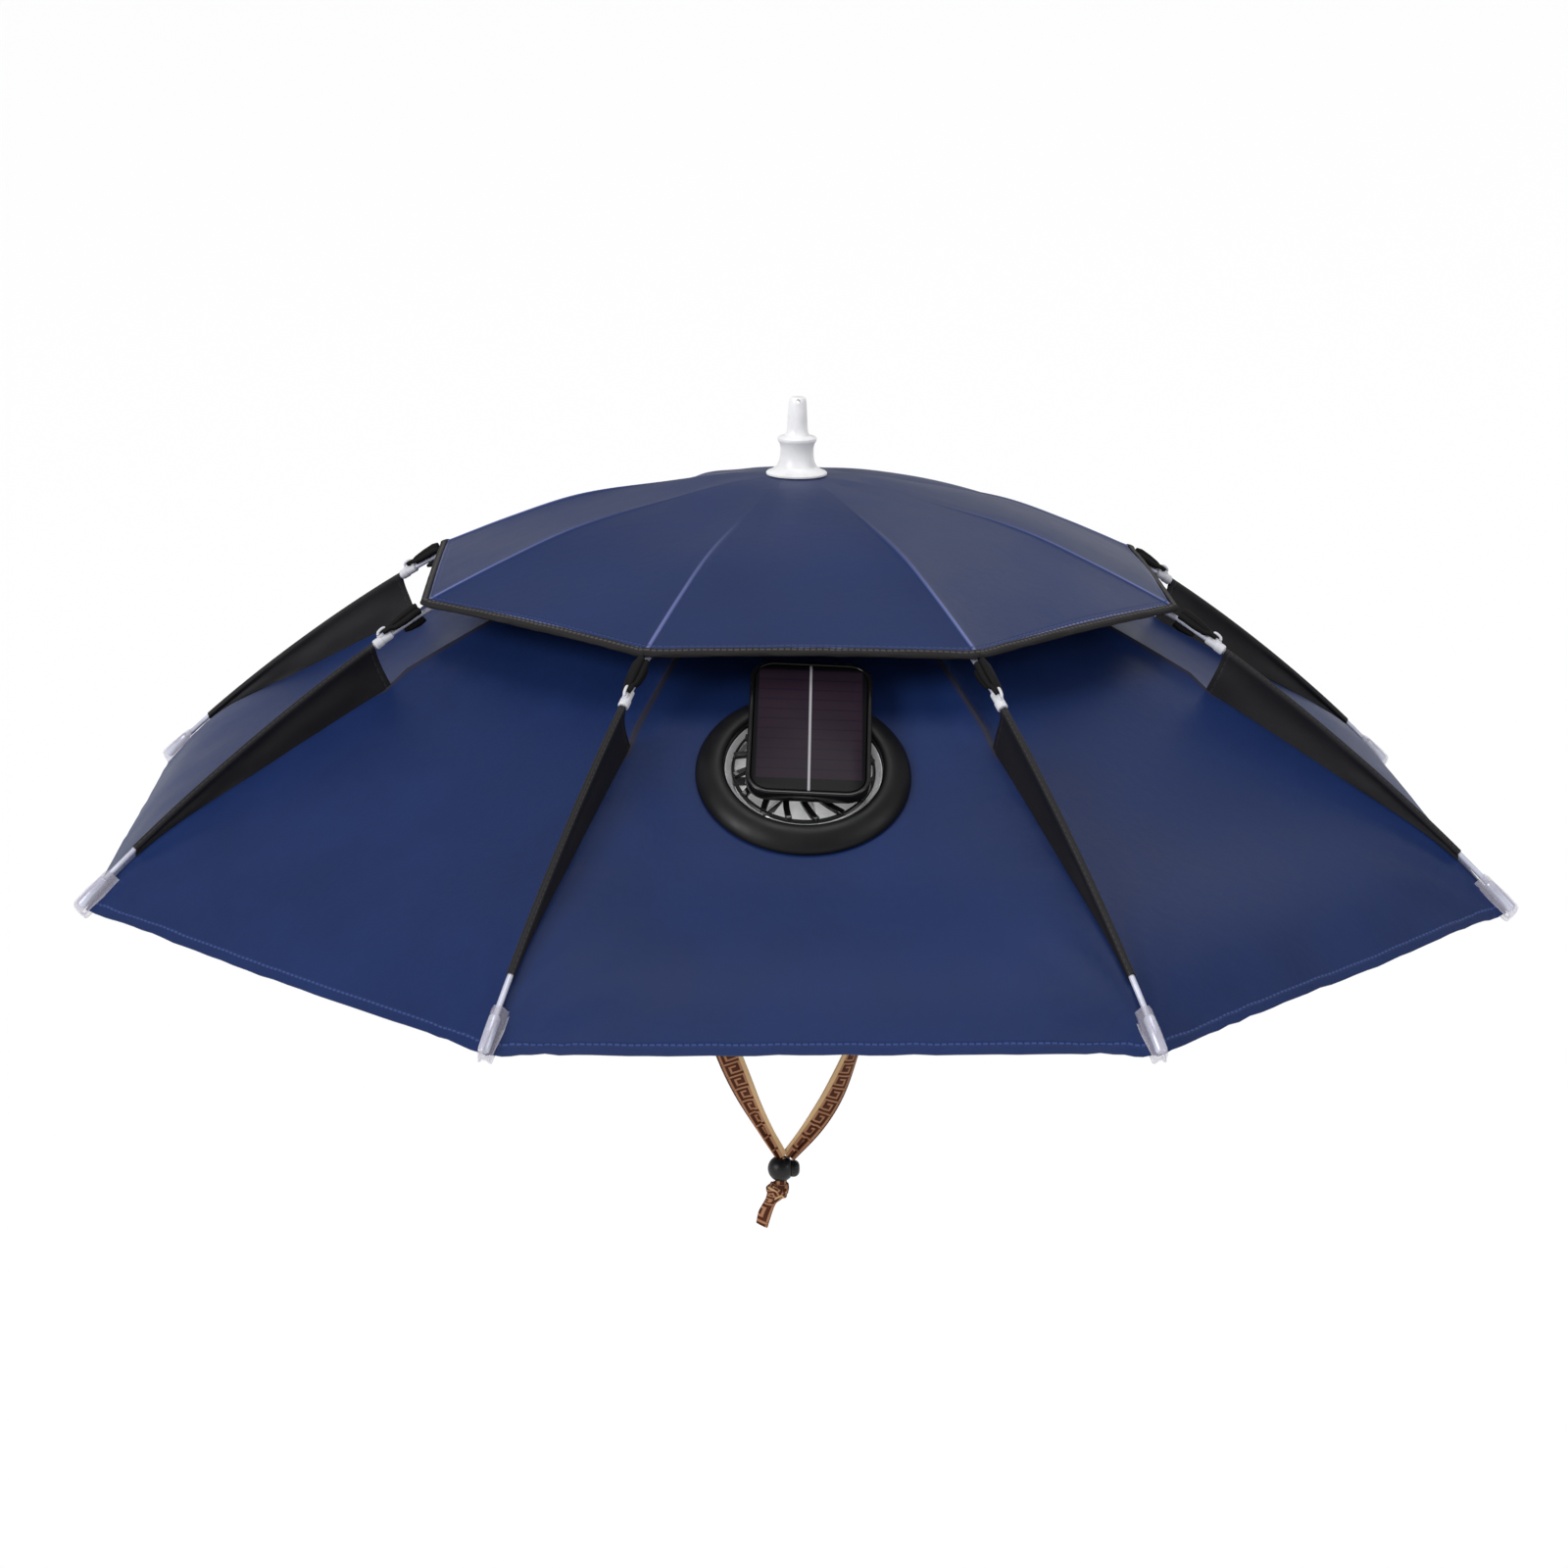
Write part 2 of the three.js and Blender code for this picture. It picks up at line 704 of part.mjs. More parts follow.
function roundedPlate(width, length, corner, low, high) {
  const shape = new THREE.Shape();
  const [x, y] = [width / 2 - corner, length / 2 - corner];
  shape.absarc(x, y, corner, 0, Math.PI / 2);
  shape.absarc(-x, y, corner, Math.PI / 2, Math.PI);
  shape.absarc(-x, -y, corner, Math.PI, 1.5 * Math.PI);
  shape.absarc(x, -y, corner, 1.5 * Math.PI, 2 * Math.PI);
  const settings = { depth: high - low, bevelEnabled: false, curveSegments: 4 };
  return new THREE.ExtrudeGeometry(shape, settings).translate(0, 0, low);
}

const panel = new THREE.Group();
panel.position.set(panelShiftAcross, panelShiftUp, guardTop + panelStandoff);
fanUnit.add(panel);

function panelTray() {
  const tray = roundedPlate(panelWidth, panelLength, panelCorner, 0, panelHeight);
  const recess = roundedPlate(
    panelWidth - 2 * panelRim,
    panelLength - 2 * panelRim,
    panelCorner - panelRim,
    panelHeight - cellHeight - 2 * gap,
    panelHeight + 1,
  );
  const post = disc(panelPostRadius, gap - panelStandoff, 1, 16);
  return cut(join(tray, post.translate(-panelShiftAcross, -panelShiftUp, 0)), recess);
}

place('solar_panel', panelTray(), panel, 0x18181b, 0.35);

const cellPlate = roundedPlate(
  panelWidth - 2 * panelRim - 2 * gap,
  panelLength - 2 * panelRim - 2 * gap,
  panelCorner - panelRim - gap,
  panelHeight - cellHeight - gap,
  panelHeight - gap,
);
place('solar_cell', cellPlate, panel, 0x241c28, 0.15);

// Headband, and the frame of bowed arms that carries it from the hub

const bandTop = seatAboveHem + bandHeight / 2;
const bandLow = seatAboveHem - bandHeight / 2;
place('headband', hoop(bandRadius - bandWall, bandRadius, bandLow, bandTop, 32), hat, 0x202024, 0.9);

// Columns: out is a share of the band's radius, up a share of the rise from band to crown plate,
// in and under the shares of the arm's stock that its inner face lies inside and below that line
const armShape = [
  { out: 1, up: 0.1, in: 1, under: 0.1 },
  { out: 0.97, up: 0.34, in: 1, under: 0.34 },
  { out: 0.86, up: 0.62, in: 1, under: 0.5 },
  { out: 0.64, up: 0.84, in: 0.54, under: 0.5 },
  { out: 0.36, up: 0.96, in: 0.14, under: 0.5 },
  { out: 0.06, up: 1, in: 0, under: 0.5 },
];

function headFrame() {
  const plateTop = hubLow - gap;
  const plateLow = plateTop - crownPlateHeight;
  const outRadius = bandRadius + gap + facetSlack + armStock;
  const rise = plateTop - 0.5 * crownPlateHeight - bandTop;
  const outer = armShape.map((row) => [row.out * outRadius, bandTop + rise * row.up + armStock / 2]);
  const inner = armShape.map((row) => [
    row.out * outRadius - row.in * armStock,
    bandTop + rise * row.up - row.under * armStock,
  ]).reverse();
  const foot = bandTop - armLap;
  const outline = [[outRadius, foot], ...outer, ...inner, [outRadius - armStock, foot]];
  const arms = Array.from({ length: armCount }, (_, i) => (
    upright(outline, armWidth).rotateZ((2 * Math.PI * (i + 0.5)) / armCount)
  ));
  return join(disc(hubRadius - crownPlateInset, plateLow, plateTop, 16), ...arms);
}

place('head_frame', headFrame(), hat, 0x232327, 0.6);

// Chin strap: two ribbon legs from the sides of the headband, bunched through the cord lock

const lockHeight = seatAboveHem - lockDrop;
const strapOut = bandRadius + gap + facetSlack + strapStock / 2;
const legTop = bandLow;
const legFall = legTop - (lockHeight + lockRadius);

// Columns: down is a share of the fall from band to lock, out a share of the strap's start,
// turn the degrees that the ribbon has turned to the front, narrow the share of its width left
const leftLeg = [
  { down: -0.11, out: 1, turn: 0, narrow: 1 },
  { down: 0, out: 1, turn: 0, narrow: 1 },
  { down: 0.15, out: 0.88, turn: 22, narrow: 1 },
  { down: 0.36, out: 0.69, turn: 50, narrow: 1 },
  { down: 0.57, out: 0.5, turn: 75, narrow: 1 },
  { down: 0.74, out: 0.345, turn: 84, narrow: 1 },
  { down: 0.84, out: 0.24, turn: 68, narrow: 0.95 },
  { down: 0.93, out: 0.135, turn: 55, narrow: 0.75 },
  { down: 1.0, out: 0.045, turn: 50, narrow: 0.45 },
];
const rightLeg = [
  { down: -0.11, out: 1, turn: 0, narrow: 1 },
  { down: 0, out: 1, turn: 0, narrow: 1 },
  { down: 0.15, out: 0.9, turn: 10, narrow: 1 },
  { down: 0.36, out: 0.72, turn: 20, narrow: 1 },
  { down: 0.57, out: 0.53, turn: 30, narrow: 1 },
  { down: 0.74, out: 0.385, turn: 40, narrow: 1 },
  { down: 0.85, out: 0.265, turn: 62, narrow: 1 },
  { down: 0.93, out: 0.16, turn: 75, narrow: 0.8 },
  { down: 1.0, out: 0.045, turn: 70, narrow: 0.45 },
];

// A flat ribbon, its width turned about the run of the leg
function ribbonRing(centre, run, turn, width, stock) {
  const rest = new THREE.Vector3(0, 1, 0);
  const wide = rest.applyAxisAngle(run, turn).multiplyScalar(width / 2);
  const thin = wide.clone().normalize().cross(run).multiplyScalar(stock / 2);
  return [[1, 1], [-1, 1], [-1, -1], [1, -1]].map(([w, t]) => (
    centre.clone().addScaledVector(wide, w).addScaledVector(thin, t)
  ));
}

function leg(rows, side) {
  const centres = rows.map((row) => new THREE.Vector3(
    side * row.out * strapOut + Math.max(0, row.down) * lockAside,
    0,
    legTop - row.down * legFall,
  ));
  return loft(rows.map((row, i) => {
    const before = centres[Math.max(0, i - 1)];
    const after = centres[Math.min(rows.length - 1, i + 1)];
    const run = after.clone().sub(before).normalize();
    const stock = strapStock / Math.max(0.5, row.narrow);
    const turn = side * THREE.MathUtils.degToRad(row.turn);
    return ribbonRing(centres[i], run, turn, strapWidth * row.narrow, stock);
  }));
}

// Below the lock the ribbon ends are knotted together and hang as a short tail; columns as
// shares: aside and down of the tail's length, wide and deep of the knot's radius
const tailShape = [
  { aside: 0, down: -0.85, wide: 0.5, deep: 0.5 },
  { aside: 0, down: 0, wide: 0.5, deep: 0.5 },
  { aside: -0.06, down: 0.07, wide: 0.85, deep: 0.8 },
  { aside: -0.14, down: 0.22, wide: 1.05, deep: 0.9 },
  { aside: -0.25, down: 0.38, wide: 0.75, deep: 0.6 },
  { aside: -0.32, down: 0.48, wide: 0.5, deep: 0.3 },
  { aside: -0.42, down: 0.72, wide: 0.75, deep: 0.22 },
  { aside: -0.5, down: 1, wide: 0.85, deep: 0.2 },
];

function tail() {
  const start = lockHeight - lockRadius - gap;
  return loft(tailShape.map((row) => (
    Array.from({ length: 8 }, (_, i) => {
      const angle = (i * Math.PI) / 4;
      return new THREE.Vector3(
        lockAside + row.aside * tailLength + row.wide * knotRadius * Math.cos(angle),
        row.deep * knotRadius * Math.sin(angle),
        start - row.down * tailLength,
      );
    })
  )));
}

const strap = join(leg(leftLeg, -1), leg(rightLeg, 1), tail());
place('chin_strap', strap, hat, 0xb98d62, 0.85);

// Cord lock: a ball drilled for the ribbon, with a push button set in its side
const lock = new THREE.Group();
lock.position.set(lockAside, 0, lockHeight);
hat.add(lock);

function lockBall() {
  const ball = new THREE.SphereGeometry(lockRadius, 16, 10).rotateX(Math.PI / 2);
  const bore = disc(lockBore, -2 * lockRadius, 2 * lockRadius, 12);
  const recessRadius = buttonRadius + gap + facetSlack;
  const recess = disc(recessRadius, buttonPocket, 2 * lockRadius, 12).rotateY(Math.PI / 2);
  return cut(ball, bore, recess);
}

place('cord_lock', lockBall(), lock, 0x1e1e20, 0.5);

const button = disc(buttonRadius, buttonStart, buttonStart + buttonLength, 12).rotateY(Math.PI / 2);
place('lock_button', button, lock, 0x232325, 0.5);

export default hat;
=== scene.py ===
from math import atan2, cos, exp, hypot, pi, radians, sin, sqrt, tan

import bpy
from mathutils import Matrix, Quaternion, Vector, noise


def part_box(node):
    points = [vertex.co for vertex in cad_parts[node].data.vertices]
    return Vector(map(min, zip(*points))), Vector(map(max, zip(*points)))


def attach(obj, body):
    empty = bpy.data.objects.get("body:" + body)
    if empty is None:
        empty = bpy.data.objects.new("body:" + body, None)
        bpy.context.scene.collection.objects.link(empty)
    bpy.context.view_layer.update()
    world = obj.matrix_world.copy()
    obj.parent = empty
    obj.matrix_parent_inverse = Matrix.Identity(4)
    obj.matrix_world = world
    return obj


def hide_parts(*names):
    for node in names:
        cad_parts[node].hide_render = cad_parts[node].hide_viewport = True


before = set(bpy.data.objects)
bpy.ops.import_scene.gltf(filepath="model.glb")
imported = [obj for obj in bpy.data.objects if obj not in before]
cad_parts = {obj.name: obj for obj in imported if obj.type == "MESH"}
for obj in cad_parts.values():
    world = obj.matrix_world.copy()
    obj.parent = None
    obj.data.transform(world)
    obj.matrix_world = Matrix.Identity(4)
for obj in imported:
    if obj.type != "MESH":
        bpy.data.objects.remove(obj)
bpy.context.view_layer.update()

# Studio
# The hat hangs in the air as a head would hold it, high over a plain pale floor. Large soft lights
# stand at its left and right, overhead and behind, and the camera looks down a little at its front.

ribs = 8
half_step = pi / ribs
seat_above_hem = 0.062
hem_height = -seat_above_hem

camera_distance = 1.7188
camera_rise = radians(16.05)
camera_turn = radians(-2.57)
camera_roll = radians(0.914)
aim = Vector((0, 0, hem_height))
eye = aim + camera_distance * Vector((
    sin(camera_turn) * cos(camera_rise),
    -cos(camera_turn) * cos(camera_rise),
    sin(camera_rise),
))
bpy.ops.object.camera_add(location=eye)
camera = bpy.context.object
camera.rotation_euler = (
    (aim - eye).to_track_quat("-Z", "Y") @ Quaternion((0, 0, 1), camera_roll)
).to_euler()
camera.data.lens = 72.83
camera.data.sensor_width = 36
camera.data.shift_x = -0.0044
camera.data.shift_y = 0.0291
bpy.context.scene.camera = camera
bpy.context.scene.view_settings.view_transform = "Standard"


def tone(red, green, blue):
    """A colour as the eye reads it, 0 to 255, in the shader's own terms."""
    parts = [part / 255 for part in (red, green, blue)]
    return tuple(p / 12.92 if p < 0.04045 else ((p + 0.055) / 1.055) ** 2.4 for p in parts) + (1,)


def new_material(name, shine=0.5, finish=None):
    """A new node material, its node tree and its shader, with the shader's own sockets set."""
    material = bpy.data.materials.new(name)
    material.use_nodes = True
    shader = material.node_tree.nodes["Principled BSDF"]
    for socket, value in {"Specular IOR Level": shine, **(finish or {})}.items():
        shader.inputs[socket].default_value = value
    return material, material.node_tree, shader


def node(tree, kind, inputs=None, **settings):
    """A node of one kind: inputs by name or number, either values or sockets to link from."""
    made = tree.nodes.new(kind)
    for key, value in settings.items():
        setattr(made, key, value)
    for key, value in (inputs or {}).items():
        if isinstance(value, bpy.types.NodeSocket):
            tree.links.new(value, made.inputs[key])
        else:
            made.inputs[key].default_value = value
    return made


def ranged(tree, value, low, high, to_low, to_high):
    """A value brought from one range to another and kept inside it, as a socket."""
    return node(tree, "ShaderNodeMapRange", {0: value, 1: low, 2: high, 3: to_low, 4: to_high}).outputs[0]


floor_size = 3000
floor_height = -2.2
bpy.ops.mesh.primitive_plane_add(size=floor_size, location=(0, 0, floor_height))
floor = bpy.context.object
floor.name = "floor"
paper = new_material("pale_floor", 0.1, {"Base Color": (0.93, 0.93, 0.935, 1), "Roughness": 0.9})[0]
floor.data.materials.append(paper)

# The room lights the hat dimly from all round, and shows as plain white behind it
room_light = 0.44
world = bpy.data.worlds.new("studio")
bpy.context.scene.world = world
world.use_nodes = True
backdrop = world.node_tree.nodes["Background"].inputs
backdrop["Color"].default_value = (1, 1, 1, 1)
seen = world.node_tree.nodes.new("ShaderNodeLightPath").outputs["Is Camera Ray"]
world.node_tree.links.new(ranged(world.node_tree, seen, 0, 1, room_light, 1), backdrop["Strength"])


def soft_light(name, turn, rise, power, spread):
    """A broad even light: turn is its bearing from the front to the right, rise its height, in degrees."""
    bpy.ops.object.light_add(type="SUN", rotation=(radians(90 - rise), 0, radians(turn)))
    lamp = bpy.context.object
    lamp.name = name
    lamp.data.energy = power
    lamp.data.angle = radians(spread)


soft_light("soft_light_left", -52, 26, 1.7, 24)
soft_light("soft_light_right", 60, 26, 0.5, 24)
soft_light("soft_light_above", 0, 84, 0.95, 26)
soft_light("soft_light_behind", 152, 33, 0.2, 30)

# Hub
# A round black block under the cloth that all eight ribs are hinged in, moulded in nylon, with a
# post that stands through the top canopy and takes the screw-on tip.

hub_above_hem = 0.178
hub_radius = 0.0157
hub_depth = 0.010
apex_above_hem = 0.1945
post_radius = 0.008
post_reach = 0.011
gap = 0.0003
merge_distance = 0.000005
smooth_angle = radians(40)


def deselect():
    if bpy.context.object and bpy.context.object.mode == "EDIT":
        bpy.ops.object.mode_set(mode="OBJECT")
    bpy.ops.object.select_all(action="DESELECT")


def apply_place():
    bpy.ops.object.transform_apply(location=True, rotation=True, scale=True)


def turned(rows, sides, ring=False):
    """A round body drawn ring by ring from rows of (radius, height); a ring closes on its first row."""
    deselect()
    (radius, height), rest = rows[0], rows[1:] + rows[:1] * ring
    fill = "NOTHING" if ring else "NGON"
    bpy.ops.mesh.primitive_circle_add(
        vertices=sides, radius=radius, fill_type=fill, location=(0, 0, height),
    )
    apply_place()
    piece = bpy.context.object
    bpy.ops.object.mode_set(mode="EDIT")
    bpy.ops.mesh.select_mode(type="EDGE")
    bpy.ops.mesh.select_all(action="SELECT")
    for new_radius, new_height in rest:
        bpy.ops.mesh.extrude_edges_move(TRANSFORM_OT_translate={"value": (0, 0, new_height - height)})
        share = new_radius / radius
        bpy.ops.transform.resize(value=(share, share, 1), center_override=(0, 0, new_height))
        radius, height = new_radius, new_height
    if not ring:
        bpy.ops.mesh.edge_face_add()
    bpy.ops.mesh.select_all(action="SELECT")
    bpy.ops.mesh.remove_doubles(threshold=merge_distance)
    bpy.ops.mesh.normals_make_consistent(inside=False)
    bpy.ops.object.mode_set(mode="OBJECT")
    return piece


def apply_modifier(piece, kind, **settings):
    """Adds one modifier, with its settings, and applies it."""
    deselect()
    piece.select_set(True)
    bpy.context.view_layer.objects.active = piece
    modifier = piece.modifiers.new(kind.lower(), kind)
    for key, value in settings.items():
        setattr(modifier, key, value)
    bpy.ops.object.modifier_apply(modifier=modifier.name)


def soften(piece, width, segments=2, angle=30):
    """Rounds the edges of a moulded piece and smooths what lies between them."""
    apply_modifier(piece, "BEVEL", width=width, segments=segments, limit_method="ANGLE",
                   angle_limit=radians(angle), harden_normals=False)
    piece.select_set(True)
    bpy.ops.object.shade_smooth_by_angle(angle=smooth_angle)


def fit(piece, name, material, slot, *nodes, body="hat"):
    """Names a piece, gives it its finish and puts it on the hat in place of its solids."""
    deselect()
    piece.select_set(True)
    bpy.context.view_layer.objects.active = piece
    apply_place()
    piece.name = name
    piece.data.materials.clear()
    piece.data.materials.append(material)
    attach(piece, body)
    if nodes:
        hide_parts(*nodes)


def figure(tree, operation, *values):
    """A sum done on numbers or sockets, as a socket."""
    return node(tree, "ShaderNodeMath", dict(enumerate(values)), operation=operation).outputs[0]


def scaled(tree, vector, share):
    return node(tree, "ShaderNodeVectorMath", {0: vector, "Scale": share}, operation="SCALE").outputs[0]


def noise_at(tree, place, scale, detail, rough=0.5):
    """Uneven patches of 0 to 1, as a socket."""
    inputs = {"Vector": place, "Scale": scale, "Detail": detail, "Roughness": rough}
    return node(tree, "ShaderNodeTexNoise", inputs).outputs[0]


def bumped(tree, height, relief):
    return node(tree, "ShaderNodeBump", {"Height": height, "Distance": relief, "Strength": 1}).outputs[0]


def connect(tree, inputs, sockets):
    """Links sockets to a node's inputs, by the inputs' names."""
    for label, socket in sockets.items():
        tree.links.new(socket, inputs[label])


def new_group(name, inputs, outputs):
    """A shader node group: its tree, the sockets that feed it and the sockets that it feeds."""
    tree = bpy.data.node_groups.new(name, "ShaderNodeTree")
    for way, labels in (("INPUT", inputs), ("OUTPUT", outputs)):
        for label in labels:
            kind = "NodeSocketColor" if label == "Colour" else "NodeSocketFloat"
            tree.interface.new_socket(label, in_out=way, socket_type=kind)
    return tree, tree.nodes.new("NodeGroupInput").outputs, tree.nodes.new("NodeGroupOutput").inputs


# Moulded plastic is nearly smooth, with a faint grain and a few duller patches
grain, grain_in, grain_out = new_group(
    "moulded_grain", ("Colour", "Dull", "Patchy"), ("Colour", "Roughness", "Height"),
)
grain_place = grain.nodes.new("ShaderNodeTexCoord").outputs["Object"]
patches = noise_at(grain, grain_place, 90, 4)
swing = figure(grain, "MULTIPLY", ranged(grain, patches, 0.3, 0.7, -1, 1), grain_in["Patchy"])
connect(grain, grain_out, {
    "Colour": scaled(grain, grain_in["Colour"], ranged(grain, patches, 0.25, 0.75, 0.86, 1.1)),
    "Roughness": figure(grain, "ADD", swing, grain_in["Dull"]),
    "Height": noise_at(grain, grain_place, 2600, 2),
})


def plastic(name, colour, dull, patchy=0.05, relief=0.00002, shine=0.5, finish=None):
    """Moulded plastic: its dullness, how much that changes in patches, and its grain's depth."""
    material, tree, shader = new_material(name, shine, finish)
    skin = node(tree, "ShaderNodeGroup", {
        "Colour": colour, "Dull": dull, "Patchy": patchy,
    }, node_tree=grain).outputs
    connect(tree, shader.inputs, {
        "Base Color": skin["Colour"], "Roughness": skin["Roughness"],
        "Normal": bumped(tree, skin["Height"], relief),
    })
    return material


black_nylon = plastic("black_nylon", tone(30, 30, 32), 0.5, shine=0.25)
hub_low = hem_height + hub_above_hem - hub_depth
hub_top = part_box("hub")[1].z - post_reach - 0.0048
hub = turned([
    (hub_radius - 0.002, hub_low),
    (hub_radius, hub_low + 0.0015),
    (hub_radius, hub_low + 0.0045),
    (hub_radius - 0.0012, hub_low + 0.005),
    (hub_radius - 0.0012, hub_low + 0.0065),
    (hub_radius, hub_low + 0.007),
    (hub_radius, hub_top),
    (post_radius, hub_top),
    (post_radius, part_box("hub")[1].z),
], 40)
soften(hub, 0.0005)
fit(hub, "rib_hub", black_nylon, "black_plastic", "hub")

# Ribs
# Eight round steel wires, lacquered pale grey, hinged in the hub and bent down over the head. Each
# ends in a thicker white cap at the hem.

canopy_radius = 0.383
rib_bend = 2.283
rib_radius = 0.0014
rib_cap_radius = 0.0027
rib_cap_length = 0.013
rib_overrun = 0.0026
rib_standoff = (rib_cap_radius + 2 * gap) * sqrt(2)
upper_radius = 0.207
rib_ease = 0.0048


def rib_height(radius):
    fall = (hub_above_hem - rib_standoff) * (radius / canopy_radius) ** rib_bend
    past_top = min(max((radius - upper_radius) / (canopy_radius - upper_radius), 0), 1)
    return hem_height + hub_above_hem - fall - rib_ease * sin(pi * past_top)


def rod(points, radius, sides=3, thickness=None):
    """A rod bent along points, drawn as a bevelled curve and made a mesh."""
    deselect()
    bpy.ops.curve.primitive_nurbs_path_add()
    line = bpy.context.object
    line.data.splines.clear()
    spline = line.data.splines.new("POLY")
    spline.points.add(len(points) - 1)
    for number, point in enumerate(points):
        spline.points[number].co = (*point, 1)
        spline.points[number].radius = thickness[number] if thickness else 1
    line.data.dimensions = "3D"
    line.data.twist_mode = "Z_UP"
    line.data.use_fill_caps = True
    line.data.bevel_depth = radius
    line.data.bevel_resolution = sides
    bpy.ops.object.convert(target="MESH")
    piece = bpy.context.object
    bpy.ops.object.mode_set(mode="EDIT")
    bpy.ops.mesh.select_all(action="SELECT")
    bpy.ops.mesh.remove_doubles(threshold=merge_distance)
    bpy.ops.mesh.normals_make_consistent(inside=False)
    bpy.ops.object.mode_set(mode="OBJECT")
    bpy.ops.object.shade_smooth_by_angle(angle=smooth_angle)
    return piece


def joined(*pieces):
    deselect()
    for piece in pieces:
        piece.select_set(True)
    bpy.context.view_layer.objects.active = pieces[0]
    bpy.ops.object.join()
    return bpy.context.object


def to_ribs(piece, name, material, slot, stem):
    """Copies a piece made on the +X axis to all eight ribs, each copy with its own mesh."""
    for number in range(ribs):
        copy = piece.copy()
        copy.data = piece.data.copy()
        bpy.context.collection.objects.link(copy)
        copy.rotation_euler.z = -pi / 2 + half_step * (2 * number + 1)
        fit(copy, f"{name}_{number + 1}", material, slot, f"{stem}_{number + 1}")
    bpy.data.objects.remove(piece)


def rib_points(start, end, count):
    """Points along the middle of a rib, evenly apart."""
    radii = [start + (end - start) * step / (count - 1) for step in range(count)]
    return [(radius, 0, rib_height(radius)) for radius in radii]


lacquer = plastic("pale_lacquer", tone(196, 198, 214), 0.32, 0.08, finish={"Metallic": 0.25})
cap_end = canopy_radius + rib_overrun
rib_wire = rod(rib_points(hub_radius + gap, cap_end - rib_cap_length / 2, 46), rib_radius)
rib_cap = rod(
    [(radius, 0, rib_height(radius)) for radius in (
        cap_end - rib_cap_length,
        cap_end - rib_cap_length + 0.0008,
        cap_end - rib_cap_length / 2,
        cap_end - 0.0012,
        cap_end - 0.0003,
        cap_end,
    )],
    rib_cap_radius,
    thickness=[0.8, 1, 1, 1, 0.85, 0.5],
)
to_ribs(joined(rib_wire, rib_cap), "wire_rib", lacquer, "rib_metal", "rib")

# Lower canopy
# Eight panels of navy coated polyester, seamed under the ribs and hemmed at the edge. It hangs
# from the fins, open in the middle for the vent, with a round hole for the fan in the front panel.

cloth_thickness = 0.0010
vent_radius = 0.110
fin_depth = 0.024
fan_sag = 0.006
fan_reach = canopy_radius - 0.1468
fan_aside = -0.0044
flange_radius = 0.0506
fan_margin = 0.006
corner_reach = 0.026
fin_end_radius = canopy_radius - corner_reach
flat_share = cos(half_step)


def table(names, *rows):
    """Rows of figures, each under its column's name."""
    return [dict(zip(names.split(), row)) for row in rows]


# Rows: hang is a share of the fin's depth under the rib's line, sag of the front panel's sag
lower_rows = table(
    "radius hang sag",
    (canopy_radius, 0, 0),
    (fin_end_radius, -0.04, 0.25),
    (fan_reach + flange_radius + fan_margin, 0.505, 1),
    (fan_reach - flange_radius - fan_margin, 0.886, -0.17),
    (vent_radius, 0.556, 0),
)
for row in lower_rows:
    row["height"] = rib_height(row["radius"]) - rib_standoff - fin_depth * row["hang"]


def eased(points, at):
    """A smooth line through points of (place, value), which run one way."""
    points = sorted(points)
    places = [point[0] for point in points]
    values = [point[1] for point in points]
    at = min(max(at, places[0]), places[-1])
    steps = [(values[i + 1] - values[i]) / (places[i + 1] - places[i]) for i in range(len(places) - 1)]
    slopes = [steps[0]] + [(a + b) / 2 for a, b in zip(steps, steps[1:])] + [steps[-1]]
    i = max(k for k in range(len(places) - 1) if places[k] <= at)
    width = places[i + 1] - places[i]
    t = (at - places[i]) / width
    return (
        (2 * t ** 3 - 3 * t ** 2 + 1) * values[i] + (t ** 3 - 2 * t ** 2 + t) * width * slopes[i]
        + (3 * t ** 2 - 2 * t ** 3) * values[i + 1] + (t ** 3 - t ** 2) * width * slopes[i + 1]
    )


def seam_height(radius):
    return eased([(row["radius"], row["height"]) for row in lower_rows], radius)


# The fan's clamp holds the cloth flat round the hole, between the rows under and over it
patch_low, patch_high = (
    Vector((fan_aside, -row["radius"] * flat_share, row["height"] - fan_sag * row["sag"]))
    for row in lower_rows[2:4]
)
fan_centre = (patch_low + patch_high) / 2
fan_tilt = atan2(patch_high.z - patch_low.z, patch_high.y - patch_low.y)
on_fan = Matrix.Translation(fan_centre) @ Matrix.Rotation(fan_tilt, 4, "X")


def near(distance, start, end):
    """1 inside start, 0 beyond end, smooth between."""
    t = min(max((end - distance) / (end - start), 0), 1)
    return t * t * (3 - 2 * t)


# The cloth blows out a little towards the back end of the left and the right panel. Inside the
# fins the seams are bare, and the cloth swells and shows a ridge along them.
back_ends = {2: 1, 6: -1}
seam_bare_radius = 0.2235
billow_height = 0.012
panel_slack = 0.005
wave_height, pucker_height, pull_height, gather_height = 0.0016, 0.0009, 0.0007, 0.0006
seam_swell, seam_ridge = 0.0032, 0.0008
clamp_start, clamp_end = flange_radius + 0.004, 0.085


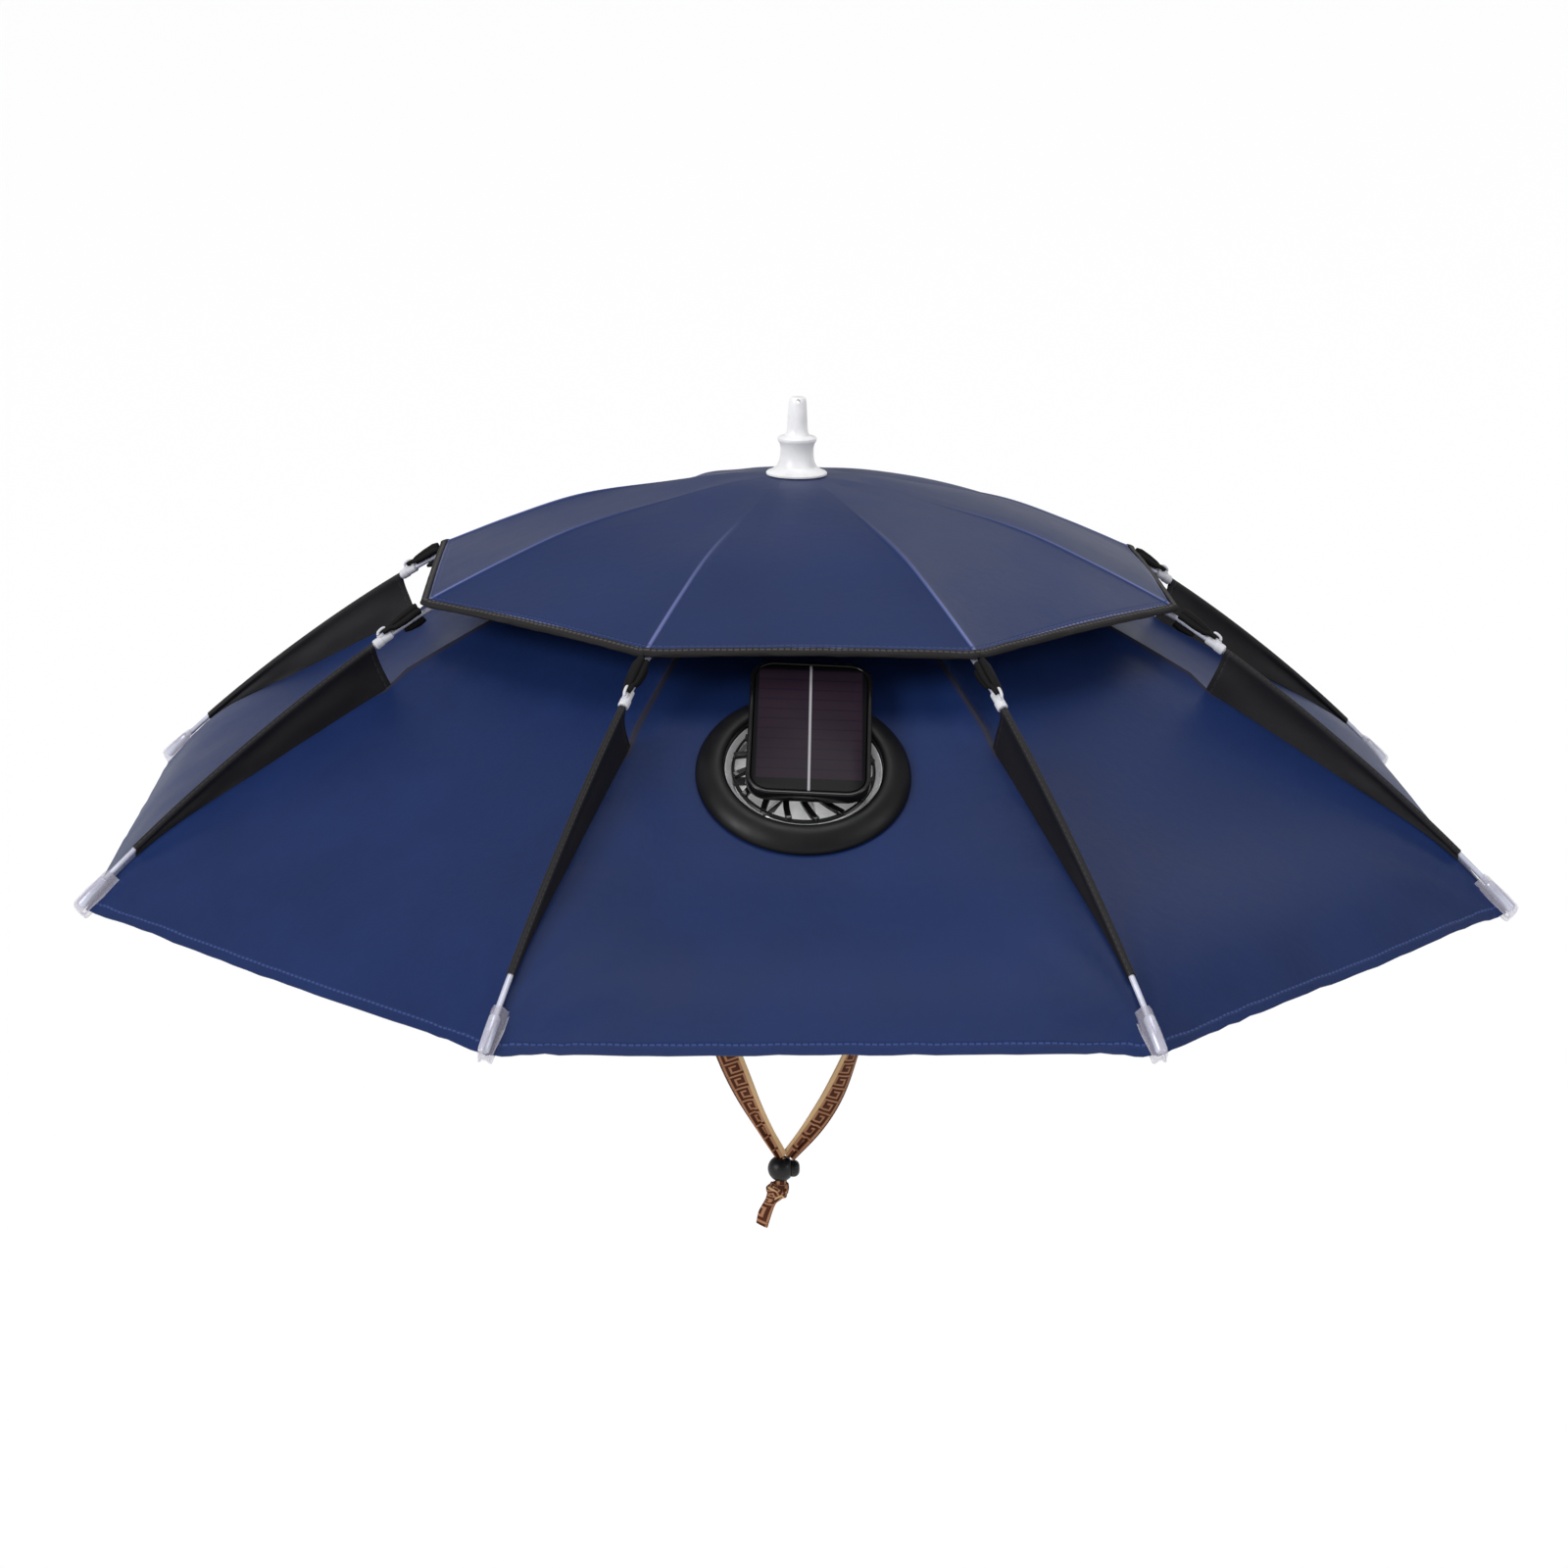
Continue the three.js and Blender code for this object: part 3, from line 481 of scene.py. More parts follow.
def lower_panel(panel, across, up):
    """A point of one lower panel: across is -1 to 1 between seams, up 0 at the hem to 1 at the vent."""
    radius = canopy_radius + (vent_radius - canopy_radius) * up
    x, y = across * radius * sin(half_step), -radius * flat_share
    height = seam_height(radius)
    slack = panel_slack * (1 - abs(across) ** 2.6) * sin(pi * min(1, up / 0.75)) ** 2
    if panel == 0:
        share = eased([(row["radius"], row["sag"]) for row in lower_rows], radius)
        slack = fan_sag * share * near(abs(across), 0.45, 1)
        flat = patch_low.z + (y - patch_low.y) * tan(fan_tilt)
        from_fan = hypot(x - fan_aside, (y - fan_centre.y) / cos(fan_tilt))
        clamp = near(from_fan, clamp_start, clamp_end)
        height = (height - slack) * (1 - clamp) + flat * clamp
    else:
        clamp = 0
        back = (1 + across * back_ends.get(panel, -1)) / 2
        rise = sin(pi * min(1, (up + 0.02) / 0.4))
        billow = billow_height * (panel in back_ends) * back ** 1.2 * (1 - back ** 7) * rise
        height += billow - slack
    # Soft waves all over, small puckers along the hem and pulls that fan out of the corners
    free = 1 - clamp
    from_hem = up * (canopy_radius - vent_radius)
    from_seam = (1 - abs(across)) * radius * sin(half_step)
    seed = Vector((panel * 3.7, 0, 0))
    waves = wave_height * noise.noise(Vector((x * 9, radius * 7, 0)) + seed) * min(1, from_seam / 0.02)
    pucker = pucker_height * noise.noise(Vector((x * 120, from_hem * 40, 4)) + seed)
    pucker *= exp(-from_hem / 0.013)
    spoke = atan2(from_hem + 0.004, from_seam + 0.004)
    from_corner = hypot(from_hem, from_seam)
    pull = pull_height * sin(13 * spoke + panel) * exp(-((from_corner - 0.03) / 0.03) ** 2)
    gather = gather_height * noise.noise(Vector((from_seam * 22, radius * 90, 9)) + seed)
    gather *= exp(-from_seam / 0.014)
    height += free * (waves + pucker + pull + gather) * near(-from_seam, -0.0012, 0)
    bare = near(radius, seam_bare_radius - 0.006, seam_bare_radius + 0.002)
    swell = seam_swell * exp(-(from_seam / 0.0065) ** 2) + seam_ridge * exp(-(from_seam / 0.0014) ** 2)
    height += bare * swell
    return Vector((x, y, height))


def to_seams(share):
    """Spreads even shares 0 to 1 over -1 to 1, with the columns closer beside both seams."""
    even = 2 * share - 1
    return 1.5 * even - 0.5 * even ** 3


def sheet_grid(columns, rows, place, measures):
    """A primitive grid whose points are moved to their place, with its UV maps in metres."""
    deselect()
    bpy.ops.mesh.primitive_grid_add(x_subdivisions=columns, y_subdivisions=rows, size=1, calc_uvs=True)
    piece = bpy.context.object
    shares = [(point.co.x + 0.5, point.co.y + 0.5) for point in piece.data.vertices]
    for point, (s, t) in zip(piece.data.vertices, shares):
        point.co = place(s, t)
    piece.data.uv_layers.remove(piece.data.uv_layers[0])
    for name, measure in measures.items():
        layer = piece.data.uv_layers.new(name=name)
        for loop in piece.data.loops:
            layer.data[loop.index].uv = measure(*shares[loop.vertex_index])
    return piece


seam_distance = 0.00002
cloth_smooth_angle = radians(50)


def sewn(panels, thickness, offset=-1):
    """Joins panels along their shared edges and gives the cloth its thickness."""
    piece = joined(*panels)
    bpy.ops.object.mode_set(mode="EDIT")
    bpy.ops.mesh.select_all(action="SELECT")
    bpy.ops.mesh.remove_doubles(threshold=seam_distance)
    bpy.ops.mesh.normals_make_consistent(inside=False)
    bpy.ops.object.mode_set(mode="OBJECT")
    if sum(face.normal.z for face in piece.data.polygons) < 0:
        piece.data.flip_normals()
    apply_modifier(piece, "SOLIDIFY", thickness=thickness, offset=offset, use_even_offset=True,
                   use_rim=True)
    piece.select_set(True)
    bpy.ops.object.shade_smooth_by_angle(angle=cloth_smooth_angle)
    return piece


def eight_panels(columns, rows, place, maps, thickness, offset=-1):
    """Sews eight panels, each made in front by place and maps and then turned to its side."""
    made = []
    for panel in range(ribs):
        piece = sheet_grid(columns, rows, lambda s, t: place(panel, s, t), maps(panel))
        piece.rotation_euler.z = 2 * half_step * panel
        apply_place()
        made.append(piece)
    return sewn(made, thickness, offset)


def panel_maps(outer, inner, slope):
    """UV maps of a panel: across from its middle, or in from its nearer seam, and up from its hem."""
    def corner(t):
        return outer + (inner - outer) * t

    return {
        "cloth": lambda s, t: (to_seams(s) * corner(t) * sin(half_step), t * slope),
        "edges": lambda s, t: ((1 - abs(to_seams(s))) * corner(t) * sin(half_step), t * slope),
    }


def bored(piece, sides, radius, depth, location=(0, 0, 0), rotation=(0, 0, 0), operation="DIFFERENCE"):
    """Drills a round hole through a piece, or with INTERSECT keeps only what lies inside it."""
    deselect()
    bpy.ops.mesh.primitive_cylinder_add(
        vertices=sides, radius=radius, depth=depth, location=location, rotation=rotation,
    )
    drill = bpy.context.object
    apply_modifier(piece, "BOOLEAN", operation=operation, object=drill, solver="EXACT")
    bpy.data.objects.remove(drill)


lower_slope = hypot(canopy_radius - vent_radius, seam_height(vent_radius) - hem_height)
lower_cloth = eight_panels(
    44, 44, lambda panel, s, t: lower_panel(panel, to_seams(s), t),
    lambda panel: panel_maps(canopy_radius, vent_radius, lower_slope), cloth_thickness,
)

duct_radius = 0.0372
duct_wall = 0.0024
duct_depth = 0.024
hole_slack = 0.0004
bored(
    lower_cloth, 64, duct_radius + duct_wall + hole_slack, 2 * duct_depth, fan_centre, (fan_tilt, 0, 0),
)


def uv_of(tree, name):
    return node(tree, "ShaderNodeUVMap", uv_map=name).outputs[0]


def uv_parts(tree, name):
    """The two measures of a UV map, as sockets."""
    return node(tree, "ShaderNodeSeparateXYZ", {0: uv_of(tree, name)}).outputs


def blend(tree, share, first, second, **settings):
    """Two colours mixed by a share, as a socket."""
    inputs = {0: share, 6: first, 7: second}
    return node(tree, "ShaderNodeMix", inputs, data_type="RGBA", **settings).outputs[2]


# Cloth is woven in fine threads, coated, and a little uneven in colour and gloss
weave, weave_in, weave_out = new_group(
    "coated_weave", ("Colour", "Threads", "Dull", "Crumple"), ("Colour", "Roughness", "Height"),
)
weave_place = weave.nodes.new("ShaderNodeTexCoord").outputs["Object"]
threads = scaled(weave, uv_of(weave, "cloth"), weave_in["Threads"])
warp, weft = (
    node(weave, "ShaderNodeTexWave", {"Vector": threads, "Scale": 1}, bands_direction=way).outputs["Fac"]
    for way in ("X", "Y")
)
crossed = figure(weave, "MAXIMUM", warp, weft)
clouds = noise_at(weave, weave_place, 14, 5, 0.6)
crumple = noise_at(weave, weave_place, 210, 4)
cloud_shade = ranged(weave, clouds, 0.3, 0.7, 0.88, 1.12)
thread_shade = ranged(weave, crossed, 0, 1, 0.9, 1.04)
gloss = ranged(weave, clouds, 0.3, 0.7, -0.05, 0.05)
folds = figure(weave, "MULTIPLY", crumple, weave_in["Crumple"])
connect(weave, weave_out, {
    "Colour": scaled(weave, weave_in["Colour"], figure(weave, "MULTIPLY", cloud_shade, thread_shade)),
    "Roughness": figure(weave, "ADD", gloss, weave_in["Dull"]),
    "Height": figure(weave, "MULTIPLY_ADD", crossed, 0.12, folds),
})

# A row of stitches lies in a shallow groove at a set distance from an edge
stitches, stitch_in, stitch_out = new_group(
    "stitch_row", ("Distance", "Along", "Set in", "Stitches"), ("Thread", "Groove"),
)
stitch_share = 0.72
stitches_per_metre = 330
groove_depth, thread_height = 1.6, 1.3
away = figure(stitches, "SUBTRACT", stitch_in["Distance"], stitch_in["Set in"])
away = figure(stitches, "ABSOLUTE", away)
line = ranged(stitches, away, 0.0002, 0.0006, 1, 0)
part = figure(stitches, "FRACT", figure(stitches, "MULTIPLY", stitch_in["Along"], stitch_in["Stitches"]))
connect(stitches, stitch_out, {
    "Thread": figure(stitches, "MULTIPLY", line, figure(stitches, "LESS_THAN", part, stitch_share)),
    "Groove": ranged(stitches, away, 0, 0.0011, 1, 0),
})


def cloth(name, colour, threads_per_metre, dull, crumpled, relief, stitch_and_highlight_rows=(), ridge=None, shine=0.5):
    """Woven cloth; each stitch row is (edge: 0 seam or 1 hem, distance in, colour), where the colour
    is a thread's, except in rows that are a painted highlight line drawn as stitches.

    A ridge on the seams is (half its width, distance from the hem where it is plain, distance
    where it is gone, colour): a band of that colour is painted along the seam as a painted highlight on the
    ridge.
    """
    material, tree, shader = new_material(name, shine)
    body = node(tree, "ShaderNodeGroup", {
        "Colour": colour, "Threads": threads_per_metre / 2, "Dull": dull, "Crumple": crumpled,
    }, node_tree=weave).outputs
    paint, height = body["Colour"], body["Height"]
    if stitch_and_highlight_rows or ridge:
        edges, lying = uv_parts(tree, "edges"), uv_parts(tree, "cloth")
    if ridge:
        half, plain_at, gone_at, ridge_highlight_colour = ridge
        beside = ranged(tree, edges[0], 0.4 * half, half, 1, 0)
        faded = ranged(tree, edges[1], plain_at, gone_at, 1, 0)
        paint = blend(tree, figure(tree, "MULTIPLY", beside, faded), paint, ridge_highlight_colour)
    for edge, distance, thread_and_highlight_colour in stitch_and_highlight_rows:
        run = node(tree, "ShaderNodeGroup", {
            "Distance": edges[edge], "Along": lying[1 - edge], "Set in": distance,
            "Stitches": stitches_per_metre,
        }, node_tree=stitches).outputs
        paint = blend(tree, run["Thread"], paint, thread_and_highlight_colour)
        grooved = figure(tree, "MULTIPLY_ADD", run["Groove"], -groove_depth, height)
        height = figure(tree, "MULTIPLY_ADD", run["Thread"], thread_height, grooved)
    connect(tree, shader.inputs, {
        "Base Color": paint, "Roughness": body["Roughness"], "Normal": bumped(tree, height, relief),
    })
    return material


navy_dye = tone(22, 40, 84)
navy_threads = 2600
navy_dull = 0.42
# The hem row is navy stitching. The bare seams inside the fins get a greyer band: partly the felled seam's
# own colour, partly a painted highlight on the seam ridge.
navy = cloth(
    "navy_coated_cloth", navy_dye, navy_threads, navy_dull, 1.0, 0.00016,
    [(1, 0.0042, tone(52, 70, 122))],
    (0.0024, lower_slope * 0.57, lower_slope * 0.55, tone(46, 45, 56)), 0.15,
)
fit(lower_cloth, "lower_cloth", navy, "canopy_cloth", "lower_canopy")

# Fins
# A web of black nylon cloth at each seam, folded over the rib as a tunnel and sewn into the seam
# below. Its inner edge is cut on a slant, and it runs out to a point before the hem.

clip_radius = upper_radius + 0.011
fin_top_radius = clip_radius + 0.0146
fin_foot_radius = fin_top_radius - 0.009
fin_wall = 0.0003
tunnel_radius = rib_radius + 0.0004

# Section of the fold: down is from the rib to the foot, across a share of the tunnel's radius. The
# tunnel over the rib takes the first share of the way round, and the two walls take the rest.
fold_down = [(0, 1), (0.12, 0.55), (0.3, 0.22), (0.65, 0.18), (1, 0.16)]
tunnel_share = 0.3


def fin_point(around, along):
    """A point of the fold: around runs from the left foot over the rib to the right foot."""
    foot_radius = fin_foot_radius + (fin_end_radius - fin_foot_radius) * along
    top_radius = fin_top_radius + (fin_end_radius - fin_top_radius) * along
    foot = Vector((foot_radius, 0, seam_height(foot_radius) - 0.0004))
    top = Vector((top_radius, 0, rib_height(top_radius)))
    rise = (top - foot).normalized()
    depth = (top - foot).length
    # The tunnel lies square to the rib's own slope
    fall = rib_height(top_radius - 0.001) - rib_height(top_radius + 0.001)
    over = Vector((fall, 0, 0.002)).normalized()
    side = -1 if around < 0.5 else 1
    share = abs(around - 0.5) * 2
    if share < tunnel_share:
        angle = share / tunnel_share * pi / 2
        across = tunnel_radius * sin(angle)
        lift = over * tunnel_radius * cos(angle)
        down = 0
    else:
        down = (share - tunnel_share) / (1 - tunnel_share)
        beside = 1 - (down * depth / tunnel_radius) ** 2
        across = tunnel_radius * max(eased(fold_down, down), sqrt(max(0, beside)))
        lift = -rise * down * depth
    ripple = 0.0011 * sin(pi * down) * min(1, depth / 0.01)
    ripple *= noise.noise(Vector((along * 5.5, down * 0.9, 2)))
    hollow = 0.0005 * sin(pi * down) * exp(-along / 0.05)
    return top + lift + Vector((hollow, side * across + ripple, 0))


# The row 3.4 mm down the walls from the fold stands for the tunnel's stitching, drawn lighter than thread
# as a painted highlight of the fold. The row near the top end is plain stitching.
black_cloth = cloth(
    "black_nylon_cloth", tone(24, 23, 26), 2200, 0.55, 0.9, 0.00014,
    [(1, 0.0028, tone(40, 39, 44)), (0, 0.0034, tone(60, 56, 57))], shine=0.25,
)
fin_length = 1.15 * (fin_end_radius - fin_foot_radius)
fin = sheet_grid(34, 60, fin_point, {
    "cloth": lambda s, t: (s * 2 * fin_depth, t * fin_length),
    "edges": lambda s, t: (abs(s - 0.5) * 2 * fin_depth, t * fin_length),
})
fin = sewn([fin], fin_wall, offset=0)
to_ribs(fin, "rib_fin", black_cloth, "binding_tape", "fin")

# Top canopy
# Eight smaller panels of the same navy cloth in one shallow dome. It is clamped on the hub's post
# under the tip and tied down at its corners, a hand's breadth over the lower canopy's opening.

upper_lift = 0.0051
apex_height = hem_height + apex_above_hem
upper_corner = rib_height(upper_radius) + upper_lift
post_clear = post_radius + gap
upper_fall = apex_height - upper_corner
# The dome's line: pairs of a share of the way out and a share of the fall
upper_line = [
    (out * upper_radius, apex_height - drop * upper_fall)
    for out, drop in (
        (post_clear / upper_radius, 0), (0.18, 0.045), (0.362, 0.18), (0.6135, 0.4), (0.797, 0.665), (1, 1),
    )
]
# The cloth stands fuller at the right and the right back
full_panels = {1: 0.3, 2: 1, 3: 1}
full_height = 0.0042
upper_arch, upper_sag, upper_wave, upper_pucker, upper_ridge = 0.0012, 0.0016, 0.0011, 0.0004, 0.0008


def upper_height(radius):
    return eased(upper_line, radius)


def upper_panel(panel, across, up):
    """A point of one top panel: across is -1 to 1 between seams, up 0 at the edge to 1 at the post."""
    radius = upper_radius + (post_clear - upper_radius) * up
    x, y = across * radius * sin(half_step), -radius * flat_share
    from_edge = upper_radius - radius
    from_seam = (1 - abs(across)) * radius * sin(half_step)
    seed = Vector((panel * 5.3, 7, 0))
    arch = upper_arch * (1 - across ** 2) * exp(-from_edge / 0.03)
    sag = upper_sag * (1 - across ** 2) * sin(pi * min(1, from_edge / 0.15)) ** 2
    waves = upper_wave * noise.noise(Vector((x * 14, radius * 11, 0)) + seed) * min(1, from_seam / 0.015)
    pucker = upper_pucker * noise.noise(Vector((x * 110, from_edge * 30, 3)) + seed)
    pucker *= exp(-from_edge / 0.012)
    full = full_height * full_panels.get(panel, 0)
    fuller = full * (1 - across ** 2) * sin(pi * min(1, from_edge / 0.17)) ** 0.7
    ridge = upper_ridge * exp(-(from_seam / 0.0012) ** 2) * near(from_edge, 0.08, 0.15)
    settle = near(-from_edge, -0.002, 0) * near(-radius, -0.036, -0.016)
    return Vector((x, y, upper_height(radius) + arch + ridge + (waves - sag + pucker + fuller) * settle))


upper_slope = hypot(upper_radius - post_clear, apex_height - upper_corner)
upper_cloth = eight_panels(
    32, 44, lambda panel, s, t: upper_panel(panel, to_seams(s), t),
    lambda panel: panel_maps(upper_radius, post_clear, upper_slope), cloth_thickness,
)
# The light row 4 mm from the edge, just above the tape, is no thread: it is a painted highlight of the
# hem's raised fold, drawn as a row of stitches. The row at 6.2 mm is navy stitching. The light band along
# the outer part of each seam is a painted highlight on the seam ridge.
top_navy = cloth(
    "navy_coated_cloth_top", navy_dye, navy_threads, navy_dull, 0.8, 0.00014,
    [(1, 0.0040, tone(104, 108, 144)), (1, 0.0062, tone(40, 56, 106))],
    (0.0014, 0.02, 0.13, tone(98, 108, 158)), 0.2,
)
fit(upper_cloth, "top_cloth", top_navy, "canopy_cloth", "top_canopy")

# Edge binding
# A narrow black woven tape, folded over the top canopy's cut edge and stitched through. At each
# corner it is turned sharply and catches the elastic loop.

tape_reach = 0.0034
tape_wall = 0.0007
edge_slope = atan2(upper_height(upper_radius) - upper_height(upper_radius - 0.012), 0.012)
# Section of the tape: along is in from the cloth's edge, over is above its upper face
tape_fold = table(
    "along over",
    (-tape_reach, 0.0003), (-0.6 * tape_reach, 0.0005), (-0.2 * tape_reach, 0.0005),
    (0.0004, 0.0003), (0.0008, -0.0005), (0.0004, -0.0013),
    (-0.2 * tape_reach, -0.0016), (-0.6 * tape_reach, -0.0016), (-tape_reach, -0.0014),
)


def tape_point(panel, fold, across):
    row = tape_fold[round(fold * (len(tape_fold) - 1))]
    edge = upper_panel(panel, across, 0)
    radius = upper_radius + row["along"] * cos(edge_slope) - row["over"] * sin(edge_slope)
    lift = row["along"] * sin(edge_slope) + row["over"] * cos(edge_slope)
    ripple = 0.0003 * noise.noise(Vector((across * 9, fold * 2, panel)))
    return Vector((across * radius * sin(half_step), -radius * flat_share, edge.z + lift + ripple))


tape_run = 2 * upper_radius * sin(half_step)
tape = eight_panels(
    len(tape_fold) - 1, 36, lambda panel, s, t: tape_point(panel, s, 2 * t - 1),
    lambda panel: {
        "cloth": lambda s, t: (s * 2 * tape_reach, (t + panel) * tape_run),
        "edges": lambda s, t: (abs(s - 0.5) * 2 * tape_reach, 1),
    },
    tape_wall, offset=0,
)
woven_tape = cloth(
    "black_woven_tape", tone(32, 30, 31), 1500, 0.72, 0.4, 0.0002,
    [(0, 0.0024, tone(72, 68, 68))], shine=0.2,
)
fit(tape, "edge_tape", woven_tape, "binding_tape", "top_binding")

# Tip
# A hollow screw-on tip of milky white plastic: a thin flange on the cloth, a waisted body with a
# collar, and a tapered shank with a small hole near its end.

tip_base = apex_height + gap
tip_height = 0.040
tip_flange_radius = 0.016
tip_body_radius = 0.009
tip_shank_radius = 0.0053
# Rows: out is a share of the radius named, up a share of the tip's height
tip_rows = [
    (tip_flange_radius, 1, -0.012), (tip_flange_radius, 1.0, 0.012), (tip_flange_radius, 0.96, 0.026),
    (tip_flange_radius, 0.82, 0.05), (tip_body_radius, 1.17, 0.095), (tip_body_radius, 1.03, 0.16),
    (tip_body_radius, 0.98, 0.24), (tip_body_radius, 0.97, 0.33), (tip_body_radius, 1.02, 0.395),
    (tip_body_radius, 1.13, 0.43), (tip_body_radius, 1.14, 0.465), (tip_body_radius, 1.03, 0.485),
    (tip_shank_radius, 1.24, 0.5), (tip_shank_radius, 1.1, 0.54), (tip_shank_radius, 1.02, 0.6),
    (tip_shank_radius, 0.96, 0.76), (tip_shank_radius, 0.88, 0.93), (tip_shank_radius, 0.78, 0.985),
    (tip_shank_radius, 0.6, 1.0),
]
tip = turned([(radius * out, tip_base + up * tip_height) for radius, out, up in tip_rows], 48)
tip_hole_radius = 0.0011
tip_hole_place = (0, -0.004, tip_base + 0.955 * tip_height)
bored(tip, 20, tip_hole_radius, 0.02, tip_hole_place, (radians(78), 0, 0))
soften(tip, 0.0003, segments=2, angle=28)
milky = plastic("milky_plastic", tone(234, 234, 236), 0.34, 0.06, finish={
    "Subsurface Weight": 0.25, "Subsurface Radius": (0.004, 0.004, 0.004),
})
fit(tip, "white_tip", milky, "white_plastic", "finial")

# Rib clips
# A small white moulded sleeve on each rib, between the top canopy's edge and the fin, with a hook
# that opens towards the hub and holds the canopy's elastic loop.

clip_end = fin_top_radius - 2 * gap
clip_start = Vector((clip_radius, 0, rib_height(clip_radius)))
clip_finish = Vector((clip_end, 0, rib_height(clip_end)))
clip_length = (clip_finish - clip_start).length
clip_slope = atan2(clip_start.z - clip_finish.z, clip_finish.x - clip_start.x)
on_clip = Matrix.Translation(clip_start) @ Matrix.Rotation(clip_slope, 4, "Y")
sleeve_radius = 0.00225
hook_foot = 0.74 * clip_length
hook_stock = 0.0014
hook_over = 0.0052
hook_reach = 0.0052
sleeve_start = 0.0058


def block(size, centre=(0, 0, 0)):
    """A plain block, to be shaped further."""
    deselect()
    bpy.ops.mesh.primitive_cube_add(size=1, location=centre, scale=size)
    piece = bpy.context.object
    apply_place()
    return piece


sleeve = turned([
    (0.8 * sleeve_radius, sleeve_start), (sleeve_radius, sleeve_start + 0.0006),
    (sleeve_radius, clip_length - 0.005),
    (1.18 * sleeve_radius, clip_length - 0.0042), (1.18 * sleeve_radius, clip_length - 0.0006),
    (sleeve_radius, clip_length),
], 24)
sleeve.rotation_euler.y = pi / 2
hook = rod(
    [
        (hook_foot - 0.0006, 0, 0.0012), (hook_foot, 0, 0.0026), (hook_foot - 0.0001, 0, 0.0038),
        (hook_foot - 0.0008, 0, 0.0048), (hook_foot - 0.0021, 0, hook_over),
        (hook_foot - 0.0034, 0, hook_over + 0.0001), (hook_foot - 0.0044, 0, hook_over),
        (hook_foot - hook_reach, 0, hook_over - 0.0003),
    ],
    hook_stock / 2, sides=4, thickness=[1.7, 1.25, 1.1, 1.05, 1, 1, 0.9, 0.55],
)
gusset = block((0.0042, 0.0024, 0.0022), (hook_foot - 0.0012, 0, 0.0022))
soften(gusset, 0.0005)
clip = joined(sleeve, hook, gusset)
apply_place()
clip.data.transform(on_clip)
clip_white = plastic("clip_plastic", tone(205, 205, 212), 0.35, 0.06)
to_ribs(clip, "white_clip", clip_white, "clip_plastic", "rib_clip")

# Corner loops
# A short loop of black elastic sewn into each corner of the binding. It is stretched round the clip's
# hook, wide at the tape and narrow in the hook, with a second strand under the rib.

loop_start = (upper_radius - clip_radius) / cos(clip_slope) + tape_wall + 0.0004
elastic_hook = hook_foot - hook_stock - 0.0012
elastic_radius = 0.0015
under_radius = 0.0016

# Each strand over the rib: how far aside it starts and ends, and how high it starts
strands = []
for aside_start, aside_end, over in ((-0.0021, -0.0012, 0.0022), (0, 0, 0.0043), (0.0021, 0.0012, 0.0022)):
    strands.append(rod(
        [
            (loop_start - 0.0006, 0.9 * aside_start, over),
            (loop_start + 0.002, aside_start, over + 0.0004),
            (-0.003, 1.1 * aside_start, over + 0.0002),
            (0.003, aside_start, over * 0.7 + 0.0010),
            (elastic_hook - 0.004, (aside_start + aside_end) / 2, 0.0036),
            (elastic_hook, aside_end, 0.0035),
        ],
        elastic_radius, thickness=[1.15, 1.3, 1.2, 1.0, 0.8, 0.7],
    ))
under_strand = rod(
    [
        (loop_start - 0.0006, 0, -0.0030), (loop_start + 0.003, 0, -0.0033), (-0.0030, 0, -0.0028),
        (-0.0004, 0, -0.0026),
    ],
    under_radius, thickness=[1.2, 1.3, 1.0, 0.5],
)
corner_loop = joined(*strands, under_strand)
loop_maps = {
    "cloth": lambda point: (point.x, 0.003 * atan2(point.z, point.y)),
    "edges": lambda point: (0, 0.02),
}
for name, measure in loop_maps.items():
    layer = corner_loop.data.uv_layers.new(name=name)
    for corner in corner_loop.data.loops:
        layer.data[corner.index].uv = measure(corner_loop.data.vertices[corner.vertex_index].co)
corner_loop.data.transform(on_clip)
elastic = cloth("black_elastic", tone(17, 15, 15), 1400, 0.7, 0.3, 0.0004, shine=0.15)
to_ribs(corner_loop, "elastic_loop", elastic, "elastic", "corner_loop")

# Corner pockets
# A sleeve of clear soft plastic at each hem corner. It is folded round the hem and sewn down on
# both sides of the rib, and the rib's white end cap sits in it.

pocket_width = 0.0088
pocket_length = 0.022
pocket_flap = 0.013
film = 0.0005
pocket_skin = 0.0005
hem_fall = atan2(seam_height(fin_end_radius) - hem_height, corner_reach)
cap_over = rib_standoff * cos(hem_fall) + rib_cap_radius + gap
pocket_under = -(cloth_thickness + 0.0007)
# The film's run: its top ends at the hem, then it folds round the hem, and the rest is the flap below
top_end, fold_end = 0.6, 0.72
hem_play = 0.0004


def pocket_point(across, run):
    """A point of the folded film: run goes along the top to the hem, round it and back below."""
    wide = abs(across)
    arch = near(wide, 0.36, 0.8)
    top = pocket_skin + (cap_over - pocket_skin) * arch
    if run < top_end:
        share = run / top_end
        mouth = near(share, 0, 0.12)
        out = -pocket_length + (pocket_length + hem_play) * share
        over = top * (1 - 0.16 * mouth) * (0.86 + 0.14 * near(-share, -0.75, -0.2))
    elif run < fold_end:
        share = (run - top_end) / (fold_end - top_end)
        out = hem_play + 0.0026 * sin(pi * share) ** 0.8
        over = top + (pocket_under - top) * (1 - cos(pi * share)) / 2
    else:
        share = (run - fold_end) / (1 - fold_end)
        out = hem_play - (pocket_flap + hem_play) * share
        over = pocket_under
    half = pocket_width / 2 * (1 - 0.3 * near(-out, -0.002, 0.014))
    seam_drop = wide * half * tan(half_step) * tan(hem_fall) * cos(hem_fall)
    return Vector((out, across * half, over - seam_drop * (1 - arch)))


